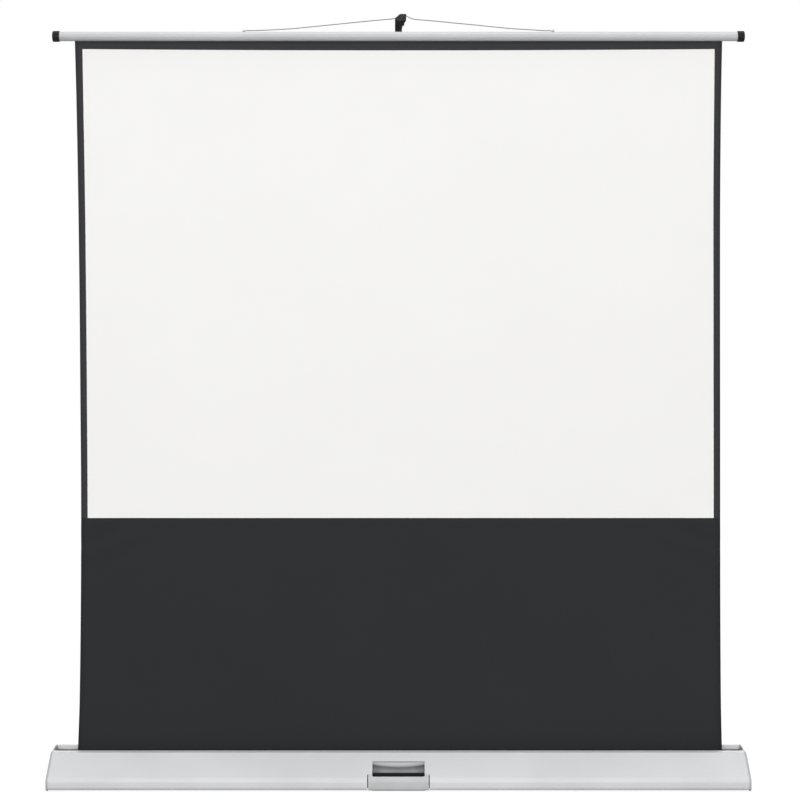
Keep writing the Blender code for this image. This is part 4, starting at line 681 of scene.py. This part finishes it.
def smooth_by_angle():
    """A node group that joins a solid's facets and shades them smooth, up to the sharp angle."""
    group = bpy.data.node_groups.new("smooth_by_angle", "GeometryNodeTree")
    group.interface.new_socket("Geometry", in_out="INPUT", socket_type="NodeSocketGeometry")
    group.interface.new_socket("Geometry", in_out="OUTPUT", socket_type="NodeSocketGeometry")
    start = add_node(group, "NodeGroupInput")
    joined = add_node(group, "GeometryNodeMergeByDistance", in_Distance=JOIN_DISTANCE)
    plain = add_node(group, "GeometryNodeRemoveAttribute", in_Name="custom_normal")
    smooth = add_node(group, "GeometryNodeSetShadeSmooth", domain="FACE", in_Shade_Smooth=True)
    angle = add_node(group, "GeometryNodeInputMeshEdgeAngle")
    sharp = add_node(
        group,
        "FunctionNodeCompare",
        data_type="FLOAT",
        operation="GREATER_THAN",
        in_B=SHARP_ANGLE,
    )
    edges = add_node(group, "GeometryNodeSetShadeSmooth", domain="EDGE", in_Shade_Smooth=False)
    end = add_node(group, "NodeGroupOutput")
    group.links.new(start.outputs[0], joined.inputs["Geometry"])
    group.links.new(joined.outputs["Geometry"], plain.inputs["Geometry"])
    group.links.new(plain.outputs["Geometry"], smooth.inputs["Geometry"])
    group.links.new(smooth.outputs["Geometry"], edges.inputs["Geometry"])
    group.links.new(angle.outputs["Unsigned Angle"], sharp.inputs["A"])
    group.links.new(sharp.outputs["Result"], edges.inputs["Selection"])
    group.links.new(edges.outputs["Geometry"], end.inputs[0])
    return group


def finish_nodes(looks):
    """Every CAD node gets smooth round faces and the procedural material of its slot, or its own."""
    smoothing = smooth_by_angle()
    for name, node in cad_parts.items():
        node.modifiers.new("smooth_by_angle", "NODES").node_group = smoothing
        flats = node.modifiers.new("even_flats", "WEIGHTED_NORMAL")
        flats.keep_sharp = True
        for slot in node.material_slots:
            base = slot.material.name.split(".")[0]
            look = OWN_LOOKS.get(name, SLOT_LOOKS.get(base))
            if look:
                slot.material = looks[look]


# Hanging cord

def tube_points(route):
    """Points and UVs of the cord, ring by ring; UV runs once round it and in metres along it."""
    points, uvs = [], []
    travelled = 0
    for index, centre in enumerate(route):
        before = route[max(index - 1, 0)]
        after = route[min(index + 1, len(route) - 1)]
        along = (after - before).normalized()
        side = along.cross(Vector((0, 1, 0))).normalized()
        other = along.cross(side)
        if index:
            travelled += (centre - route[index - 1]).length
        for step in range(CORD_SIDES + 1):
            turn = 2 * math.pi * step / CORD_SIDES
            points.append(centre + (side * math.cos(turn) + other * math.sin(turn)) * CORD_RADIUS)
            uvs.append((step / CORD_SIDES, travelled))
    return points, uvs


def tube_faces(rings):
    faces = []
    ring = CORD_SIDES + 1
    for index in range(rings - 1):
        for step in range(CORD_SIDES):
            low = index * ring + step
            faces.append((low, low + 1, low + 1 + ring, low + ring))
    return faces


def make_cord(looks):
    knots = [(x, CLOTH_Y + back, BAR_Z + rise) for x, back, rise in CORD_ROUTE]
    route = smooth_route(knots, CORD_POINTS)
    points, uvs = tube_points(route)
    cord = add_mesh("cord_braided", points, tube_faces(len(route)), [looks["cord"]], uvs=uvs)
    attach(cord, "top_bar")
    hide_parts("hanging_cord")
    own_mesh(cord)


# Cloth

def cloth_rows():
    """Heights of the cloth's rows, each with how far it bows down at the middle."""
    rows = []
    for index in range(SLOT_ROWS):
        rows.append((CLOTH_LOW + (SLOT_TOP - CLOTH_LOW) * index / SLOT_ROWS, 0))
    for index in range(DROP_ROWS):
        rows.append((SLOT_TOP + (PICTURE_LOW - SLOT_TOP) * index / DROP_ROWS, 0))
    for index in range(PICTURE_ROWS):
        share = index / PICTURE_ROWS
        rows.append((PICTURE_LOW + (PICTURE_HIGH - PICTURE_LOW) * share, PICTURE_SAG * share ** 6))
    for index in range(TOP_ROWS):
        share = index / TOP_ROWS
        rows.append((PICTURE_HIGH + (CLOTH_HIGH - PICTURE_HIGH) * share, PICTURE_SAG * (1 - share)))
    rows.append((CLOTH_HIGH, 0))
    return rows


def cloth_columns(height):
    """Places across the cloth at a height: its edge, the border's inner edge, and the picture."""
    outer = between(CLOTH_EDGE, height)
    inner = between(PICTURE_EDGE, height)
    drift = between(CLOTH_DRIFT, height)
    middle = [drift + inner * (2 * index / CLOTH_COLUMNS - 1) for index in range(CLOTH_COLUMNS + 1)]
    return [drift - outer] + middle + [drift + outer]


def cloth_ripple(x, z):
    """How far the cloth stands off its plane."""
    swell = SWELL_DEPTH * math.sin(SWELL_WAVES[0] * x + SWELL_START) * math.sin(SWELL_WAVES[1] * z)
    wrinkle = 0
    for side in (-1, 1):
        across = x - side * WRINKLE_PLACE[0]
        up = z - WRINKLE_PLACE[1]
        near = math.exp(-(across / WRINKLE_REACH[0]) ** 2 - (up / WRINKLE_REACH[1]) ** 2)
        wrinkle += near * math.sin(WRINKLE_WAVES[1] * up + side * WRINKLE_WAVES[0] * across)
    above = min(1, max(0, (z - FREE_LOW) / FREE_FADE))
    below = min(1, max(0, (FREE_HIGH - z) / FREE_FADE))
    return (swell + WRINKLE_DEPTH * wrinkle) * (above * below)


def cloth_points(rows):
    """Points and UVs of the cloth's front and then of its back, row by row; UV is in metres."""
    points, uvs = [], []
    for face_side in (-1, 1):
        for height, bow in rows:
            for x in cloth_columns(height):
                sag = bow * (1 - (x / SAG_HALF_WIDTH) ** 2) if abs(x) < SAG_HALF_WIDTH else 0
                z = height - sag
                y = CLOTH_Y + cloth_ripple(x, z) + face_side * CLOTH_HALF_THICK
                points.append((x, y, z))
                uvs.append((x, z))
    return points, uvs


def front_slot(row_middle, column):
    """The look of a face on the cloth's front: the drop, the picture or its border."""
    if row_middle < PICTURE_LOW:
        return DROP
    if row_middle < PICTURE_HIGH and 0 < column < CLOTH_COLUMNS + 1:
        return PICTURE
    return BORDER


def cloth_faces(rows):
    """Faces of the cloth's front, back and edges, and the look of each."""
    faces, slots = [], []
    width = CLOTH_COLUMNS + 3
    back = len(rows) * width
    for row in range(len(rows) - 1):
        row_middle = (rows[row][0] + rows[row + 1][0]) / 2
        for column in range(width - 1):
            low = row * width + column
            high = low + width
            faces.append((low, low + 1, high + 1, high))
            faces.append((back + high, back + high + 1, back + low + 1, back + low))
            slots.extend((front_slot(row_middle, column), BACK))
        left = row * width
        right = left + width - 1
        faces.append((back + left, left, left + width, back + left + width))
        faces.append((right, back + right, back + right + width, right + width))
        slots.extend((BACK, BACK))
    top = (len(rows) - 1) * width
    for column in range(width - 1):
        edge = top + column
        faces.append((back + column, back + column + 1, column + 1, column))
        faces.append((edge, edge + 1, back + edge + 1, back + edge))
        slots.extend((BACK, BACK))
    return faces, slots


def make_cloth(looks):
    rows = cloth_rows()
    points, uvs = cloth_points(rows)
    faces, slots = cloth_faces(rows)
    cloths = [looks[name] for name in CLOTH_LOOKS]
    cloth = add_mesh("projection_cloth", points, faces, cloths, slots, uvs)
    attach(cloth, "case")
    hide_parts("screen_fabric")
    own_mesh(cloth)


def roll_points(half):
    """Points and UVs of the roll's spiral, four to a step, and the length of its cloth."""
    points, uvs = [], []
    length = 0
    for index in range(ROLL_STEPS + 1):
        turn = 2 * math.pi * index / ROLL_TURN_STEPS
        inner = ROLL_INNER + ROLL_PITCH * index / ROLL_TURN_STEPS
        for rise in (0, 2 * CLOTH_HALF_THICK):
            radius = inner + rise
            y = ROLLER_Y + radius * math.cos(turn)
            z = ROLLER_Z + radius * math.sin(turn)
            for side in (-1, 1):
                x = side * half + ROLL_DRIFT
                points.append((x, y, z))
                uvs.append((x, length))
        length += 2 * math.pi * inner / ROLL_TURN_STEPS
    return points, uvs, length


def roll_faces():
    """Faces of the roll and their looks: 0 on the inner side, 1 on the outer side and the edges."""
    faces, slots = [], []
    for index in range(ROLL_STEPS):
        near = 4 * index
        far = near + 4
        faces.append((near, near + 1, far + 1, far))
        faces.append((near + 2, far + 2, far + 3, near + 3))
        faces.append((near, far, far + 2, near + 2))
        faces.append((near + 1, near + 3, far + 3, far + 1))
        slots.extend((0, 1, 1, 1))
    last = 4 * ROLL_STEPS
    faces.append((0, 2, 3, 1))
    faces.append((last, last + 1, last + 3, last + 2))
    slots.extend((1, 1))
    return faces, slots


def make_roll(looks):
    """The cloth left on the roller: a spiral of thin cloth, black side out."""
    low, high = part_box("roller_wrap")
    half = (high.x - low.x) / 2
    points, uvs, length = roll_points(half)
    faces, slots = roll_faces()
    sides = [looks["picture_white"], looks["back_black"]]
    roll = add_mesh("cloth_roll", points, faces, sides, slots, uvs)
    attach(roll, "roller")
    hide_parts("roller_wrap")


# Light and floor

def add_area(name, place, aim, size, power):
    light = bpy.data.lights.new(name, "AREA")
    light.shape = "RECTANGLE"
    light.size, light.size_y = size
    light.energy = power
    holder = bpy.data.objects.new(name, light)
    holder.location = place
    holder.rotation_euler = (Vector(aim) - Vector(place)).to_track_quat("-Z", "Y").to_euler()
    bpy.context.scene.collection.objects.link(holder)


def add_lights():
    for lamp in LAMPS:
        add_area(*lamp)


def camera_sees(tree):
    """1 for rays from the camera, in a mirror or through glass."""
    rays = add_node(tree, "ShaderNodeLightPath").outputs
    seen = combined_in(tree, "MAXIMUM", rays["Is Camera Ray"], rays["Is Glossy Ray"])
    return combined_in(tree, "MAXIMUM", seen, rays["Is Transmission Ray"])


def add_world():
    world = bpy.data.worlds.new("studio")
    world.use_nodes = True
    bpy.context.scene.world = world
    tree = world.node_tree
    tree.nodes.clear()
    ambient = add_node(tree, "ShaderNodeBackground", in_Color=WHITE, in_Strength=AMBIENT)
    seen = add_node(tree, "ShaderNodeBackground", in_Color=WHITE, in_Strength=1.0)
    mix = add_node(tree, "ShaderNodeMixShader")
    output = add_node(tree, "ShaderNodeOutputWorld")
    tree.links.new(camera_sees(tree), mix.inputs[0])
    tree.links.new(ambient.outputs[0], mix.inputs[1])
    tree.links.new(seen.outputs[0], mix.inputs[2])
    tree.links.new(mix.outputs[0], output.inputs["Surface"])


def floor_near(tree):
    """1 on the floor round the object, where its shadow lies, fading to 0 further out."""
    place = add_node(tree, "ShaderNodeTexCoord")
    mapping = add_node(tree, "ShaderNodeMapping")
    mapping.inputs["Scale"].default_value = (1 / SHADOW_REACH[0], 1 / SHADOW_REACH[1], 1)
    fade = add_node(tree, "ShaderNodeTexGradient", gradient_type="SPHERICAL")
    level = add_node(tree, "ShaderNodeMapRange", in_1=0.0, in_2=SHADOW_FADE, in_3=0.0, in_4=1.0)
    tree.links.new(place.outputs["Object"], mapping.inputs["Vector"])
    tree.links.new(mapping.outputs["Vector"], fade.inputs["Vector"])
    tree.links.new(fade.outputs["Fac"], level.inputs[0])
    return level.outputs[0]


def floor_material():
    """A plain floor that the camera sees as white, but for the object's shadow."""
    material = bpy.data.materials.new("studio_floor")
    material.use_nodes = True
    tree = material.node_tree
    tree.nodes.clear()
    grey = (FLOOR_GREY, FLOOR_GREY, FLOOR_GREY, 1)
    plain = add_node(tree, "ShaderNodeBsdfDiffuse", in_Color=grey)
    glow = add_node(tree, "ShaderNodeEmission", in_Color=WHITE, in_Strength=1.0)
    dim_glow = add_node(tree, "ShaderNodeEmission", in_Color=WHITE, in_Strength=FLOOR_GLOW)
    shadowed = add_node(tree, "ShaderNodeAddShader")
    near = floor_near(tree)
    seen = add_node(tree, "ShaderNodeMixShader")
    mix = add_node(tree, "ShaderNodeMixShader")
    output = add_node(tree, "ShaderNodeOutputMaterial")
    tree.links.new(dim_glow.outputs[0], shadowed.inputs[0])
    tree.links.new(plain.outputs[0], shadowed.inputs[1])
    tree.links.new(near, seen.inputs[0])
    tree.links.new(glow.outputs[0], seen.inputs[1])
    tree.links.new(shadowed.outputs[0], seen.inputs[2])
    tree.links.new(camera_sees(tree), mix.inputs[0])
    tree.links.new(plain.outputs[0], mix.inputs[1])
    tree.links.new(seen.outputs[0], mix.inputs[2])
    tree.links.new(mix.outputs[0], output.inputs["Surface"])
    return material


def add_floor():
    corners = ((-1, -1), (1, -1), (1, 1), (-1, 1))
    points = [(FLOOR_HALF * x, FLOOR_HALF * y, 0) for x, y in corners]
    floor = add_mesh("studio_floor", points, [(0, 1, 2, 3)], [floor_material()])
    floor.location.z = CAD_BOX[0][2]


def build():
    add_camera()
    looks = make_materials()
    make_cord(looks)
    make_cloth(looks)
    make_roll(looks)
    finish_nodes(looks)
    add_lights()
    add_world()
    add_floor()
    scene = bpy.context.scene
    scene.view_settings.view_transform = "Standard"


build()
